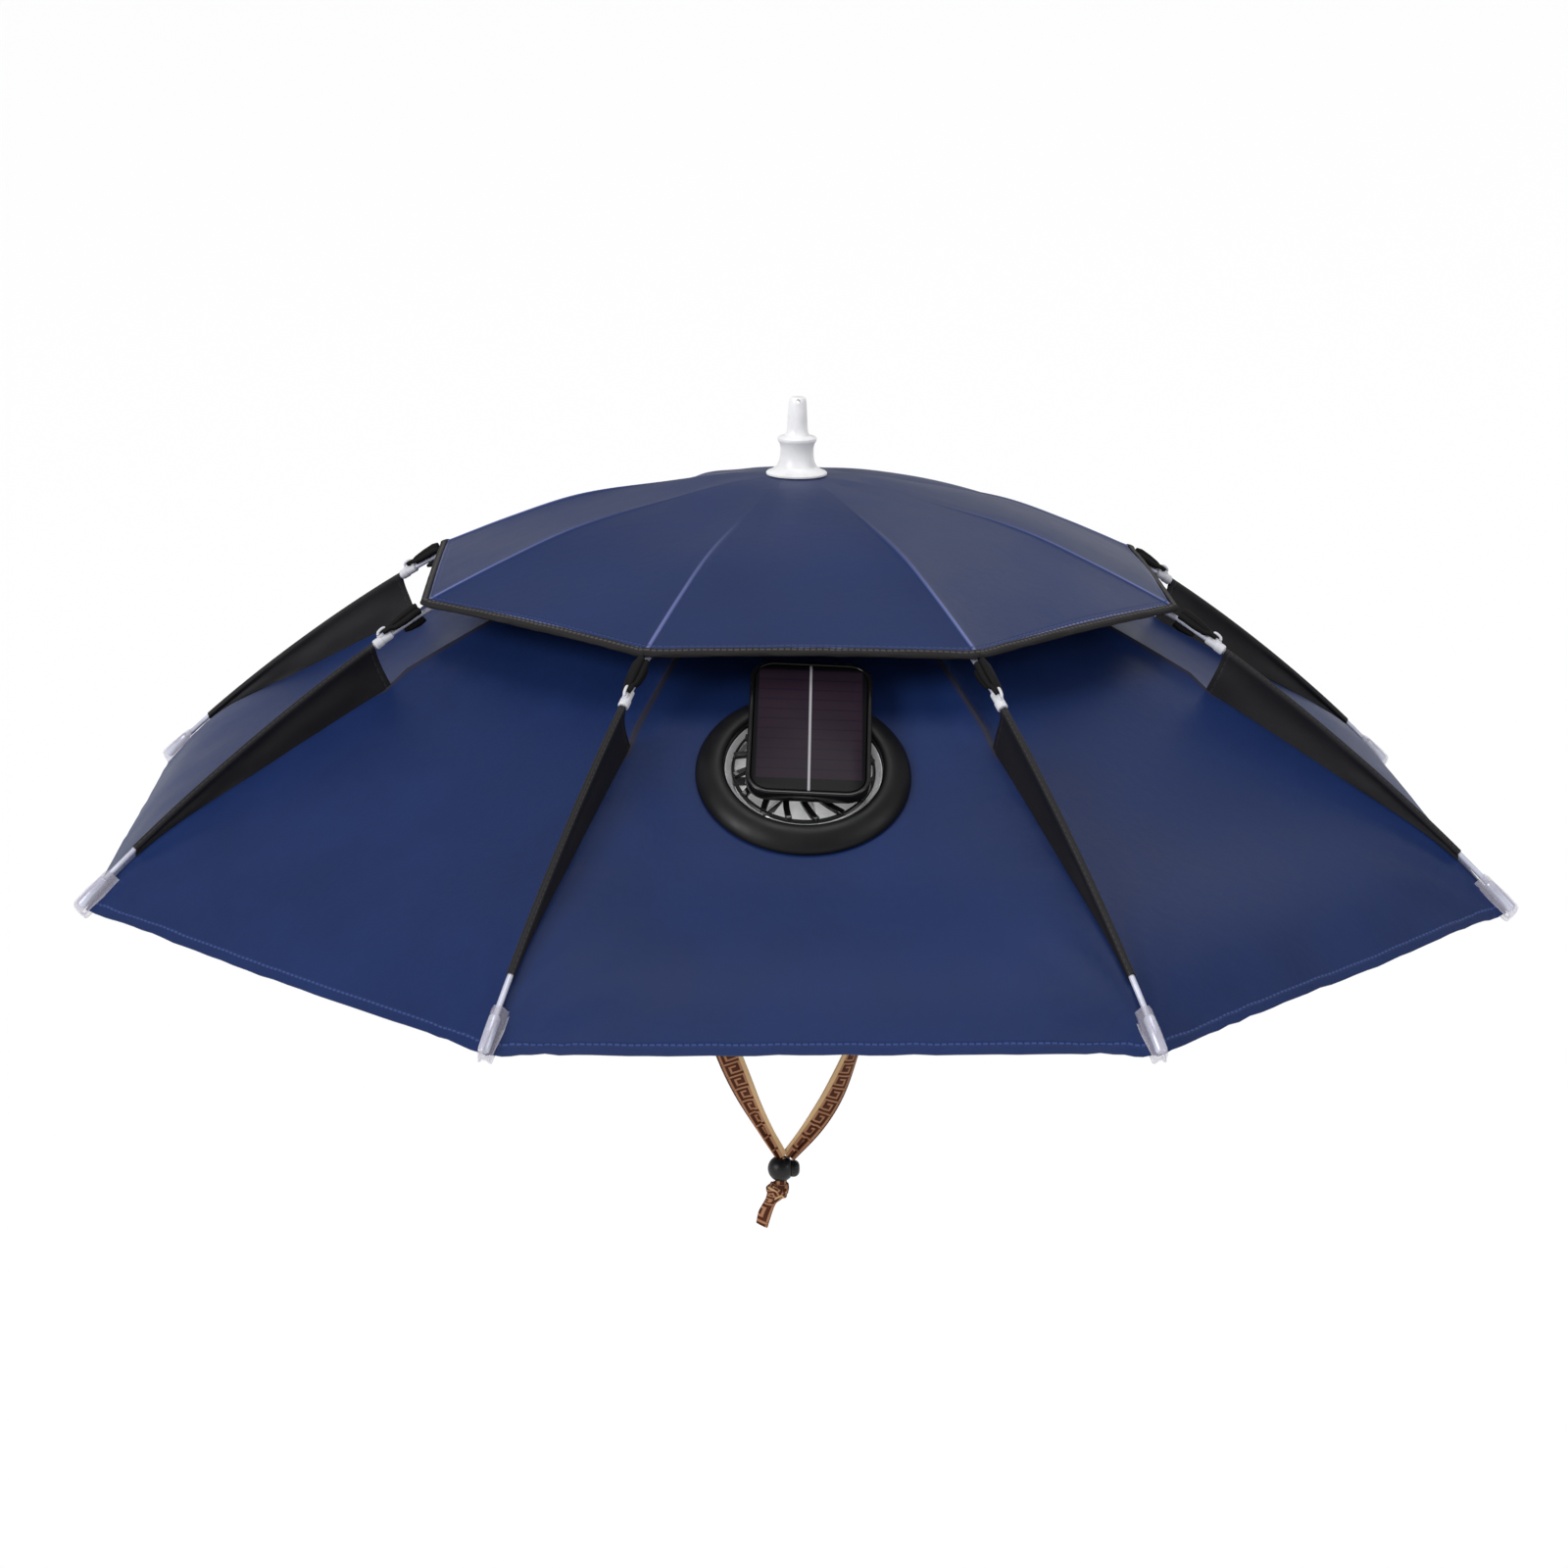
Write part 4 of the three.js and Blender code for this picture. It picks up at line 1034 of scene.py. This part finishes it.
pocket = sheet_grid(28, 50, lambda s, t: pocket_point(2 * s - 1, t), {
    "cloth": lambda s, t: (s * pocket_width, t * 0.045),
    "edges": lambda s, t: ((0.5 - abs(s - 0.5)) * pocket_width, 1),
})
pocket = sewn([pocket], film, offset=0)
on_hem = Matrix.Translation((canopy_radius, 0, hem_height)) @ Matrix.Rotation(hem_fall, 4, "Y")
pocket.data.transform(on_hem)
clear, clear_tree, clear_shader = new_material("clear_soft_plastic", finish={
    "Base Color": tone(198, 194, 208), "IOR": 1.5, "Coat Weight": 0.6, "Coat Roughness": 0.12,
})
film_waves = noise_at(clear_tree, clear_tree.nodes.new("ShaderNodeTexCoord").outputs["Object"], 260, 3)
film_edge = uv_parts(clear_tree, "edges")[0]
connect(clear_tree, clear_shader.inputs, {
    "Normal": bumped(clear_tree, film_waves, 0.00005),
    "Roughness": ranged(clear_tree, film_waves, 0.3, 0.7, 0.12, 0.3),
    "Alpha": ranged(clear_tree, film_edge, 0.0001, 0.0009, 0.5, 0.24),
})
to_ribs(pocket, "clear_pocket", clear, "clear_pocket", "corner_pocket")

# Fan ring
# A domed ring of satin black plastic lies on the cloth round the hole, with a duct down through it.
# Below the cloth a plain clamp ring is pressed on the duct, and the cloth is held between them.

ring_black = plastic("satin_black", tone(17, 17, 19), 0.42, 0.06, 0.000012, shine=0.2)
duct_outer = duct_radius + duct_wall
fan_ring = turned([
    (duct_radius, -duct_depth), (duct_outer, -duct_depth), (duct_outer, gap),
    (flange_radius - 0.0005, gap), (flange_radius, 0.0008), (flange_radius - 0.0001, 0.0017),
    (flange_radius - 0.0007, 0.0028), (flange_radius - 0.0021, 0.0044), (flange_radius - 0.0043, 0.0060),
    (flange_radius - 0.0068, 0.0073), (flange_radius - 0.0093, 0.0080), (duct_outer - 0.0004, 0.0079),
    (duct_radius + 0.0006, 0.0074), (duct_radius, 0.0066),
], 112, ring=True)
soften(fan_ring, 0.0002, angle=35)
fan_ring.data.transform(on_fan)
fit(fan_ring, "fan_ring", ring_black, "black_gloss", "fan_flange")

clamp_top = -0.0014 * cos(fan_tilt) - gap
clamp_depth = 0.003
clamp_inner, clamp_outer = 0.0399, 0.0479
fan_clamp = turned([
    (clamp_inner, clamp_top - clamp_depth), (clamp_outer, clamp_top - clamp_depth),
    (clamp_outer, clamp_top), (clamp_inner, clamp_top),
], 72, ring=True)
soften(fan_clamp, 0.0006)
fan_clamp.data.transform(on_fan)
fit(fan_clamp, "fan_clamp_ring", black_nylon, "black_plastic", "fan_nut")

# Fan guard
# A moulded black guard lies in the ring: sixteen bowed vanes run from a middle plate to its rim.
# A plated lip lines the rim and slopes down to the vanes. Its near-white, mostly diffuse colour is partly
# the plating's and partly a painted reflection of the lights.

guard_low, guard_top = 0.0035, 0.006
guard_middle = (guard_low + guard_top) / 2
vanes = 16
vane_start, vane_end = 0.0118, 0.0342
vane_width = 0.0028
inner_rim_radius = 0.0322
vane_lean = radians(22)
vane_bow = radians(26)
plate_radius = 0.014

vane = block((vane_end - vane_start, vane_width, guard_top - guard_low))
bpy.ops.object.mode_set(mode="EDIT")
bpy.ops.mesh.subdivide(number_cuts=7)
bpy.ops.object.mode_set(mode="OBJECT")
apply_modifier(vane, "SIMPLE_DEFORM", deform_method="BEND", deform_axis="Z", angle=vane_bow)
soften(vane, 0.0004)
vane.rotation_euler.z = vane_lean
vane.location = ((vane_start + vane_end) / 2, 0, guard_middle)


def around(piece, count, first=0):
    """Copies of a piece turned evenly about the fan's axis, joined in one mesh."""
    deselect()
    piece.select_set(True)
    bpy.context.view_layer.objects.active = piece
    apply_place()
    copies = []
    for number in range(count):
        copy = piece.copy()
        copy.data = piece.data.copy()
        copy.data.transform(Matrix.Rotation(first + 2 * pi * number / count, 4, "Z"))
        bpy.context.collection.objects.link(copy)
        copies.append(copy)
    bpy.data.objects.remove(piece)
    return joined(*copies)


guard_plate = turned([
    (plate_radius - 0.0006, guard_low), (plate_radius, guard_low + 0.0006),
    (plate_radius, guard_top - 0.0006), (plate_radius - 0.0006, guard_top),
], 48)
guard_rim = turned([
    (inner_rim_radius, guard_low), (inner_rim_radius + 0.0016, guard_low - 0.0004),
    (inner_rim_radius + 0.0016, guard_low + 0.0004), (inner_rim_radius, guard_low + 0.0012),
], 96, ring=True)
soften(guard_rim, 0.0002)
guard = joined(around(vane, vanes), guard_plate, guard_rim)
guard.data.transform(on_fan)
gloss_black = plastic("gloss_black", tone(15, 15, 16), 0.14, 0.04, 0.000006, shine=0.35)
fit(guard, "guard_vanes", gloss_black, "black_gloss", "fan_guard")

lip_outer, lip_inner = 0.0369, 0.0333
lip_low, lip_top = 0.0004, 0.0044
lip = turned([
    (lip_inner, lip_low), (lip_outer, lip_low),
    (lip_outer, lip_top - 0.0002), (lip_outer - 0.0003, lip_top),
    (lip_outer - 0.0006, lip_top - 0.0002), (lip_outer - 0.0022, lip_top - 0.0018),
    (lip_inner + 0.0001, lip_low + 0.0004),
], 112, ring=True)
soften(lip, 0.0001, angle=35)
lip.data.transform(on_fan)
# Near white and mostly diffuse: partly the plating's own colour, partly a painted reflection of the lights.
plated_and_painted_reflection = plastic("bright_plating_and_painted_reflection", tone(250, 250, 252), 0.25, 0.08, finish={"Metallic": 0.35})
fit(lip, "guard_lip", plated_and_painted_reflection, "black_gloss", "fan_guard")

# Fan rotor
# Seven broad blades of pale plastic that lets light through, moulded on a hub that is pressed on the
# motor's shaft. They twist to flat tips, which are cut round to run close in the duct.

rotor_low, rotor_top = -0.0095, 0.0005
rotor_middle = (rotor_low + rotor_top) / 2
rotor_hub_radius = 0.0115
rotor_radius = 0.034
shaft_hole = 0.0019
blades = 7
blade_start = 0.0105
blade_chord = 0.0225
blade_stock = 0.0011
blade_pitch = radians(17)
blade_twist = radians(16)
blade_flare = 0.79
blade_trim = 0.001

deselect()
bpy.ops.mesh.primitive_grid_add(x_subdivisions=14, y_subdivisions=12, size=1)
blade = bpy.context.object
blade.scale = (rotor_radius + blade_trim - blade_start, blade_chord, 1)
apply_place()
apply_modifier(blade, "SIMPLE_DEFORM", deform_method="TAPER", deform_axis="X", factor=blade_flare)
apply_modifier(blade, "SIMPLE_DEFORM", deform_method="TWIST", deform_axis="X", angle=-blade_twist)
apply_modifier(blade, "SOLIDIFY", thickness=blade_stock, offset=0)
blade.rotation_euler.x = blade_pitch
blade.location = ((rotor_radius + blade_trim + blade_start) / 2, 0, rotor_middle)
apply_place()
bored(blade, 128, rotor_radius, 0.04, operation="INTERSECT")
soften(blade, 0.00025, angle=40)
rotor_hub = turned([
    (shaft_hole, rotor_low), (rotor_hub_radius, rotor_low), (rotor_hub_radius, rotor_top - 0.0016),
    (rotor_hub_radius - 0.0006, rotor_top - 0.0005), (rotor_hub_radius - 0.002, rotor_top),
    (shaft_hole, rotor_top),
], 48, ring=True)
soften(rotor_hub, 0.0003)
rotor = joined(around(blade, blades), rotor_hub)
rotor.data.transform(on_fan)
pale_plastic = plastic("pale_blade_plastic", tone(255, 254, 255), 0.4, 0.02, finish={
    "Subsurface Weight": 1, "Subsurface Radius": (1, 1, 1), "Subsurface Scale": 0.012,
})
fit(rotor, "fan_blades", pale_plastic, "blade_plastic", "fan_rotor", body="rotor")

# Fan motor
# A small can motor hangs in the duct on three spokes and carries the rotor on its shaft. It can't
# be seen in the photograph and is made plainly.

motor_radius = 0.010
motor_low, motor_top = -0.020, -0.011
shaft_radius = 0.0015
shaft_top = -0.0025
spoke_start, spoke_end = 0.005, 0.0368
spoke_width = 0.004
spoke_low, spoke_top = -0.0155, -0.0115

motor = turned([
    (motor_radius - 0.001, motor_low), (motor_radius, motor_low + 0.001), (motor_radius, motor_top - 0.001),
    (motor_radius - 0.001, motor_top), (2 * shaft_radius, motor_top),
    (2 * shaft_radius, motor_top + 0.0006),
    (shaft_radius, motor_top + 0.0006), (shaft_radius, shaft_top),
], 40)
soften(motor, 0.0002)
spoke = block(
    (spoke_end - spoke_start, spoke_width, spoke_top - spoke_low),
    ((spoke_start + spoke_end) / 2, 0, (spoke_low + spoke_top) / 2),
)
soften(spoke, 0.0006)
motor = joined(motor, around(spoke, 3, first=pi / 2))
motor.data.transform(on_fan)
fit(motor, "fan_motor_unit", black_nylon, "black_plastic", "fan_motor")

# Solar panel
# A glossy black tray with round corners stands on a short post over the guard. A dark violet cell
# is cast in it under clear resin, with fine rows across it and one pale conductor down the middle.

tray_width, tray_length, tray_depth = 0.058, 0.0855, 0.006
tray_corner = 0.0115
tray_rim = 0.0022
tray_floor = 0.0042
tray_aside, tray_up, tray_height = 0.003, 0.0162, 0.010
tray_turn = radians(-3.2)
tray_place = Matrix.Translation((tray_aside, tray_up, tray_height))
on_tray = on_fan @ tray_place @ Matrix.Rotation(tray_turn, 4, "Z")
stand_radius = 0.008
stand_low, stand_top = -0.0037, 0.001


def select_parts(piece, kind, parts, chosen):
    """Enters edit mode with only the chosen edges or faces selected."""
    deselect()
    piece.select_set(True)
    bpy.context.view_layer.objects.active = piece
    bpy.ops.object.mode_set(mode="EDIT")
    bpy.ops.mesh.select_mode(type=kind)
    bpy.ops.mesh.select_all(action="DESELECT")
    bpy.ops.object.mode_set(mode="OBJECT")
    for part in parts:
        part.select = chosen(part)
    bpy.ops.object.mode_set(mode="EDIT")


def rounded_plate(width, length, corner, low, top):
    """A flat plate with round corners, lying between two heights."""
    plate = block((width, length, top - low), (0, 0, (low + top) / 2))
    heights = [point.co.z for point in plate.data.vertices]
    select_parts(plate, "EDGE", plate.data.edges, lambda edge: (
        abs(heights[edge.vertices[0]] - heights[edge.vertices[1]]) > 0.5 * (top - low)
    ))
    bpy.ops.mesh.bevel(offset=corner, segments=12, affect="EDGES")
    bpy.ops.object.mode_set(mode="OBJECT")
    return plate


tray = rounded_plate(tray_width, tray_length, tray_corner, 0, tray_depth)
select_parts(tray, "FACE", tray.data.polygons, lambda face: face.normal.z > 0.9)
bpy.ops.mesh.inset(thickness=tray_rim, depth=0)
bpy.ops.mesh.extrude_region_move(TRANSFORM_OT_translate={"value": (0, 0, tray_floor - tray_depth)})
bpy.ops.object.mode_set(mode="OBJECT")
soften(tray, 0.0008, segments=4, angle=40)
stand = turned([
    (stand_radius, stand_low), (stand_radius, stand_low + 0.001),
    (stand_radius - 0.0008, stand_low + 0.002),
    (stand_radius - 0.0008, stand_top),
], 40)
stand.location = (-tray_aside, -tray_up, 0)
tray = joined(tray, stand)
apply_place()
tray.data.transform(on_tray)
fit(tray, "solar_tray", gloss_black, "black_gloss", "solar_panel")

cell_width, cell_length, cell_corner = 0.053, 0.0805, 0.009
cell_low, cell_top = 0.0045, 0.0057
cell_rows = 11
field_half = 0.0245
field_low, field_top = -0.0330, 0.0372
conductor_half = 0.0006
cell_skew = radians(-0.6)

cell = rounded_plate(cell_width, cell_length, cell_corner, cell_low, cell_top)
soften(cell, 0.0004, segments=3)
plan = cell.data.uv_layers.new(name="plate")
for loop in cell.data.loops:
    point = cell.data.vertices[loop.vertex_index].co
    x, y = point.x, point.y
    plan.data[loop.index].uv = (
        x * cos(cell_skew) - y * sin(cell_skew), x * sin(cell_skew) + y * cos(cell_skew),
    )
cell.data.transform(on_tray)

cast_cell, cell_tree, cell_shader = new_material("violet_cell", 0.04, {"Roughness": 0.25})
aside, along = uv_parts(cell_tree, "plate")[:2]
from_middle = figure(cell_tree, "ABSOLUTE", aside)
conductor = figure(cell_tree, "LESS_THAN", from_middle, conductor_half)
row_place = figure(cell_tree, "MULTIPLY_ADD", along, cell_rows / (field_top - field_low), 0.3)
row_line = figure(cell_tree, "LESS_THAN", figure(cell_tree, "FRACT", row_place), 0.14)
in_width = figure(cell_tree, "LESS_THAN", from_middle, field_half)
over_low = figure(cell_tree, "GREATER_THAN", along, field_low)
under_top = figure(cell_tree, "LESS_THAN", along, field_top)
in_field = figure(cell_tree, "MULTIPLY", in_width, figure(cell_tree, "MULTIPLY", over_low, under_top))
cell_clouds = noise_at(cell_tree, uv_of(cell_tree, "plate"), 60, 3)
violet = blend(cell_tree, cell_clouds, tone(32, 24, 36), tone(40, 29, 37))
rowed = blend(cell_tree, row_line, violet, tone(29, 22, 34))
bordered = blend(cell_tree, in_field, tone(15, 15, 17), rowed)
cell_paint = blend(cell_tree, conductor, bordered, tone(150, 148, 152))
connect(cell_tree, cell_shader.inputs, {"Base Color": cell_paint})
fit(cell, "violet_cell_plate", cast_cell, "cell_face", "solar_cell")

# Head frame
# A crown plate under the hub carries four flat springy arms of black plastic, bent down over the
# head. Their ends are sewn to the outside of the headband.

band_half = 0.017
frame_plate_radius = 0.0137
frame_plate_top = hub_low - gap
frame_plate_depth = 0.008
arm_out = 0.0904
arm_stock = 0.002
arm_width = 0.010
arm_lap = 0.026
arm_rise = frame_plate_top - frame_plate_depth / 2 - band_half
# Columns: out is a share of the arm's reach, up of its rise, level of how far it lies flat
arm_shape = table(
    "out up level",
    (1, 0.1, 0), (0.97, 0.34, 0.1), (0.86, 0.62, 0.4), (0.64, 0.84, 0.7), (0.36, 0.96, 1), (0.06, 1, 1),
)
arm_line = [(arm_out - arm_stock / 2, band_half - arm_lap)] + [
    (row["out"] * arm_out - (1 - row["level"]) * arm_stock / 2, band_half + arm_rise * row["up"])
    for row in arm_shape
]


def arm_point(s, t):
    """A point of the arm's middle surface: s across its width, t from its foot to the plate."""
    step = t * (len(arm_line) - 1)
    radius = eased([(number, point[0]) for number, point in enumerate(arm_line)], step)
    height = eased([(number, point[1]) for number, point in enumerate(arm_line)], step)
    return Vector((radius, (s - 0.5) * arm_width, height))


arm = sheet_grid(4, 60, arm_point, {})
apply_modifier(arm, "SOLIDIFY", thickness=arm_stock, offset=0)
soften(arm, 0.0005)
crown_plate = turned([
    (frame_plate_radius, frame_plate_top - frame_plate_depth), (frame_plate_radius, frame_plate_top),
], 40)
soften(crown_plate, 0.0008)
head_frame = joined(around(arm, 4, first=pi / 4), crown_plate)
fit(head_frame, "head_arms", black_nylon, "black_plastic", "head_frame")

# Headband
# A firm band of woven black webbing, stitched along both edges, goes round the head inside the
# frame's arms. The chin strap is sewn to its sides.

band_radius = 0.0869
band_wall = 0.0018


def headband_point(s, t):
    bulge = 0.0004 * sin(pi * t)
    return Vector((
        (band_radius + bulge) * cos(2 * pi * s), (band_radius + bulge) * sin(2 * pi * s),
        (2 * t - 1) * band_half,
    ))


headband = sheet_grid(120, 10, headband_point, {
    "cloth": lambda s, t: (s * 2 * pi * band_radius, t * 2 * band_half),
    "edges": lambda s, t: (0.02, (0.5 - abs(t - 0.5)) * 2 * band_half),
})
headband = sewn([headband], band_wall, offset=0)
webbing = cloth(
    "black_webbing", tone(38, 37, 40), 900, 0.75, 0.5, 0.0003, [(1, 0.003, tone(66, 65, 68))], shine=0.25,
)
fit(headband, "head_band", webbing, "binding_tape", "headband")

# Chin strap
# One patterned ribbon, woven beige and brown, hangs from both sides of the headband. It turns to
# the front on its way down and is bunched through the cord lock; below, its ends are knotted.

strap_width = 0.014
strap_stock = 0.0012
strap_out = 0.0891
lock_aside = -0.0025
lock_height = -0.259
lock_radius = 0.0074
leg_fall = -band_half - (lock_height + lock_radius)

# Columns: down is a share of the fall from band to lock, out a share of the strap's start,
# turn the degrees that the ribbon has turned to the front, narrow the share of its width left
left_leg = table(
    "down out turn narrow",
    (-0.11, 1, 0, 1),
    (0, 1, 0, 1),
    (0.15, 0.88, 22, 1),
    (0.36, 0.69, 50, 1),
    (0.57, 0.5, 75, 1),
    (0.74, 0.345, 84, 1),
    (0.84, 0.232, 68, 0.92),
    (0.93, 0.11, 55, 0.65),
    (1.0, 0, 50, 0.42),
)
right_leg = table(
    "down out turn narrow",
    (-0.11, 1, 0, 1),
    (0, 1, 0, 1),
    (0.15, 0.9, 10, 1),
    (0.36, 0.72, 20, 1),
    (0.57, 0.545, 30, 1),
    (0.74, 0.415, 42, 1),
    (0.85, 0.305, 64, 1),
    (0.93, 0.185, 75, 0.76),
    (1.0, 0.045, 70, 0.45),
)


def leg_centre(rows, side, down):
    out = eased([(row["down"], row["out"]) for row in rows], down)
    return Vector((side * out * strap_out + max(0, down) * lock_aside, 0, -band_half - down * leg_fall))


def leg_point(rows, side, s, t):
    """A point of one leg: s goes from the ribbon's inner edge to its outer one, t down to the lock."""
    down = rows[0]["down"] + (1 - rows[0]["down"]) * t
    turn = radians(eased([(row["down"], row["turn"]) for row in rows], down))
    narrow = eased([(row["down"], row["narrow"]) for row in rows], down)
    run = (leg_centre(rows, side, min(1, down + 0.01)) - leg_centre(rows, side, down - 0.01)).normalized()
    wide = Quaternion(run, side * turn) @ Vector((0, 1, 0))
    thin = wide.cross(run)
    curl = 0.0008 * sin(pi * s) * sin(5 * down + side)
    ripple = 0.0005 * noise.noise(Vector((s * 1.5, down * 11, side)))
    bunch = 0.0035 * (1 - narrow) * sin(3.3 * pi * s + 1.2 * side)
    middle = leg_centre(rows, side, down) + wide * (s - 0.5) * strap_width * narrow
    return middle + thin * (curl + ripple + bunch)


def ribbon_maps(length):
    return {
        "cloth": lambda s, t: (s * strap_width, t * length),
        "ribbon": lambda s, t: (t * length, (1 - s) * strap_width),
    }


leg_length = 1.08 * hypot(leg_fall, strap_out)
legs = [
    sheet_grid(
        14, 150, lambda s, t, rows=rows, side=side: leg_point(rows, side, s, t), ribbon_maps(leg_length),
    )
    for rows, side in ((left_leg, -1), (right_leg, 1))
]

tail_length = 0.027
knot_radius = 0.005
tail_start = lock_height - lock_radius - gap
tail_slant = 0.55
# Columns as shares: aside and down of the tail's length, wide and deep of the knot's radius
tail_shape = table(
    "aside down wide deep",
    (0, -0.5, 0.5, 0.5),
    (0, 0, 0.52, 0.5),
    (-0.02, 0.07, 0.82, 0.74),
    (-0.06, 0.22, 0.98, 0.86),
    (-0.14, 0.38, 0.76, 0.58),
    (-0.22, 0.48, 0.56, 0.32),
    (-0.32, 0.72, 0.6, 0.2),
    (-0.38, 0.98, 0.52, 0.15),
)


def tail_measure(column, step):
    return eased([(number, row[column]) for number, row in enumerate(tail_shape)], step)


def tail_point(s, t):
    """A point of the knotted ends: s goes round the bunch, t down from the lock to the cut."""
    step = t * (len(tail_shape) - 1)
    angle = 2 * pi * s
    fold = 1 + 0.09 * sin(5 * angle + 7 * t) * sin(pi * min(1, 1.5 * t))
    aside = tail_measure("wide", step) * knot_radius * cos(angle) * fold
    cut = tail_slant * aside * max(0, t - 0.6) / 0.4
    return Vector((
        lock_aside + tail_measure("aside", step) * tail_length + aside,
        tail_measure("deep", step) * knot_radius * sin(angle) * fold,
        tail_start - tail_measure("down", step) * tail_length - cut,
    ))


def wrap(tilt, swing, reach, width, lean):
    """One turn of ribbon pulled tight round the knot."""
    centre = Vector((lock_aside - 0.06 * tail_length, 0, tail_start - 0.2 * tail_length))
    turn = Matrix.Rotation(swing, 3, "Z") @ Matrix.Rotation(tilt, 3, "Y")

    def place(s, t):
        angle = 2 * pi * t
        across = (s - 0.5) * width * (1 - 0.3 * cos(angle + lean))
        swell = reach * (1 - 0.12 * (2 * s - 1) ** 2) + 0.0003 * sin(9 * s + 2 * angle)
        return centre + turn @ Vector((swell * cos(angle), 0.88 * swell * sin(angle), across))
    return place


tail = sheet_grid(40, 56, tail_point, ribbon_maps(1.2 * tail_length))
wraps = [
    sheet_grid(8, 40, wrap(*shape), ribbon_maps(2 * pi * knot_radius))
    for shape in (
        (radians(-24), 0, 1.08 * knot_radius, 0.0058, 0.4),
        (radians(38), 0.5, 1.13 * knot_radius, 0.0042, 2.2),
    )
]
chin_ribbon = joined(*[sewn([part], strap_stock, offset=0) for part in (*legs, tail, *wraps)])

# The woven fret is a band of keys: each bar is (from, to) along the ribbon and (from, to) across it,
# in sevenths of a key's length and of the fret's width
key_length = 0.0076
fret_width = 0.0108
key_bars = [
    ((0, 1), (0, 7)), ((0, 6), (6, 7)), ((5, 6), (2, 7)),
    ((2, 6), (2, 3)), ((2, 3), (2, 5)), ((1, 7), (0, 1)),
]
bar, bar_in, bar_out = new_group("fret_bar", ("Along", "Across", "Start", "End", "Low", "Top"), ("Bar",))
inside = None
for label, start, end in (("Along", "Start", "End"), ("Across", "Low", "Top")):
    rising = figure(bar, "SUBTRACT", bar_in[label], bar_in[start])
    falling = figure(bar, "SUBTRACT", bar_in[end], bar_in[label])
    least = figure(bar, "MINIMUM", rising, falling)
    inside = least if inside is None else figure(bar, "MINIMUM", least, inside)
connect(bar, bar_out, {"Bar": ranged(bar, inside, -0.02, 0.2, 0, 1)})

woven = cloth("patterned_ribbon", tone(255, 255, 255), 2400, 0.82, 0.8, 0.00025, shine=0.15)
woven_tree = woven.node_tree
woven_paint = woven_tree.nodes["Principled BSDF"].inputs["Base Color"]
thread_paint = woven_paint.links[0].from_socket
along, across = uv_parts(woven_tree, "ribbon")[:2]
key_part = figure(woven_tree, "FRACT", figure(woven_tree, "MULTIPLY", along, 1 / key_length))
key_along = figure(woven_tree, "MULTIPLY", key_part, 7)
key_across = figure(woven_tree, "MULTIPLY_ADD", across, 7 / fret_width, -0.5)
fret = None
for (start, end), (low, top) in key_bars:
    made = node(woven_tree, "ShaderNodeGroup", {
        "Along": key_along, "Across": key_across, "Start": start, "End": end, "Low": low, "Top": top,
    }, node_tree=bar).outputs[0]
    fret = made if fret is None else figure(woven_tree, "MAXIMUM", made, fret)
ribbon_clouds = noise_at(woven_tree, uv_of(woven_tree, "ribbon"), 110, 3)
ground = blend(woven_tree, ribbon_clouds, tone(54, 22, 12), tone(94, 52, 32))
line_tone = blend(woven_tree, ribbon_clouds, tone(178, 131, 99), tone(150, 104, 74))
figured = blend(woven_tree, fret, ground, line_tone)
border = ranged(woven_tree, across, fret_width + 0.0004, fret_width + 0.0010, 0, 1)
ribbon_paint = blend(woven_tree, border, figured, tone(206, 172, 128))
threaded = blend(woven_tree, 1, ribbon_paint, thread_paint, blend_type="MULTIPLY")
woven_tree.links.new(threaded, woven_paint)
fit(chin_ribbon, "chin_ribbon", woven, "strap_ribbon", "chin_strap")

# Cord lock
# A ball of fine matt black plastic, drilled from top to bottom for the ribbon. A spring in its side
# pushes a round button out and so pinches the ribbon in the bore.

bore_radius = 0.0032
button_radius = 0.0048
recess_radius = 0.0052
recess_start = 0.0033
button_start, button_end = 0.0052, 0.0104
lock_black = plastic("lock_black", tone(17, 17, 18), 0.42, 0.06, 0.00003, shine=0.35)

deselect()
bpy.ops.mesh.primitive_uv_sphere_add(segments=64, ring_count=40, radius=lock_radius)
ball = bpy.context.object
bored(ball, 48, bore_radius, 2 * (lock_radius + gap))
bored(ball, 48, recess_radius, 2 * lock_radius, (recess_start + lock_radius, 0, 0), (0, pi / 2, 0))
soften(ball, 0.0003, segments=2, angle=32)
ball.location = (lock_aside, 0, lock_height)
fit(ball, "lock_ball", lock_black, "black_plastic", "cord_lock")

button = turned([
    (button_radius - 0.0004, button_start), (button_radius, button_start + 0.0004),
    (button_radius, button_end - 0.0028), (button_radius - 0.0005, button_end - 0.0015),
    (button_radius - 0.0014, button_end - 0.0006), (button_radius - 0.0026, button_end - 0.0001),
    (button_radius - 0.0036, button_end),
], 48)
soften(button, 0.0002)
button.rotation_euler.y = pi / 2
button.location = (lock_aside, 0, lock_height)
fit(button, "lock_push_button", lock_black, "black_plastic", "lock_button", body="button")
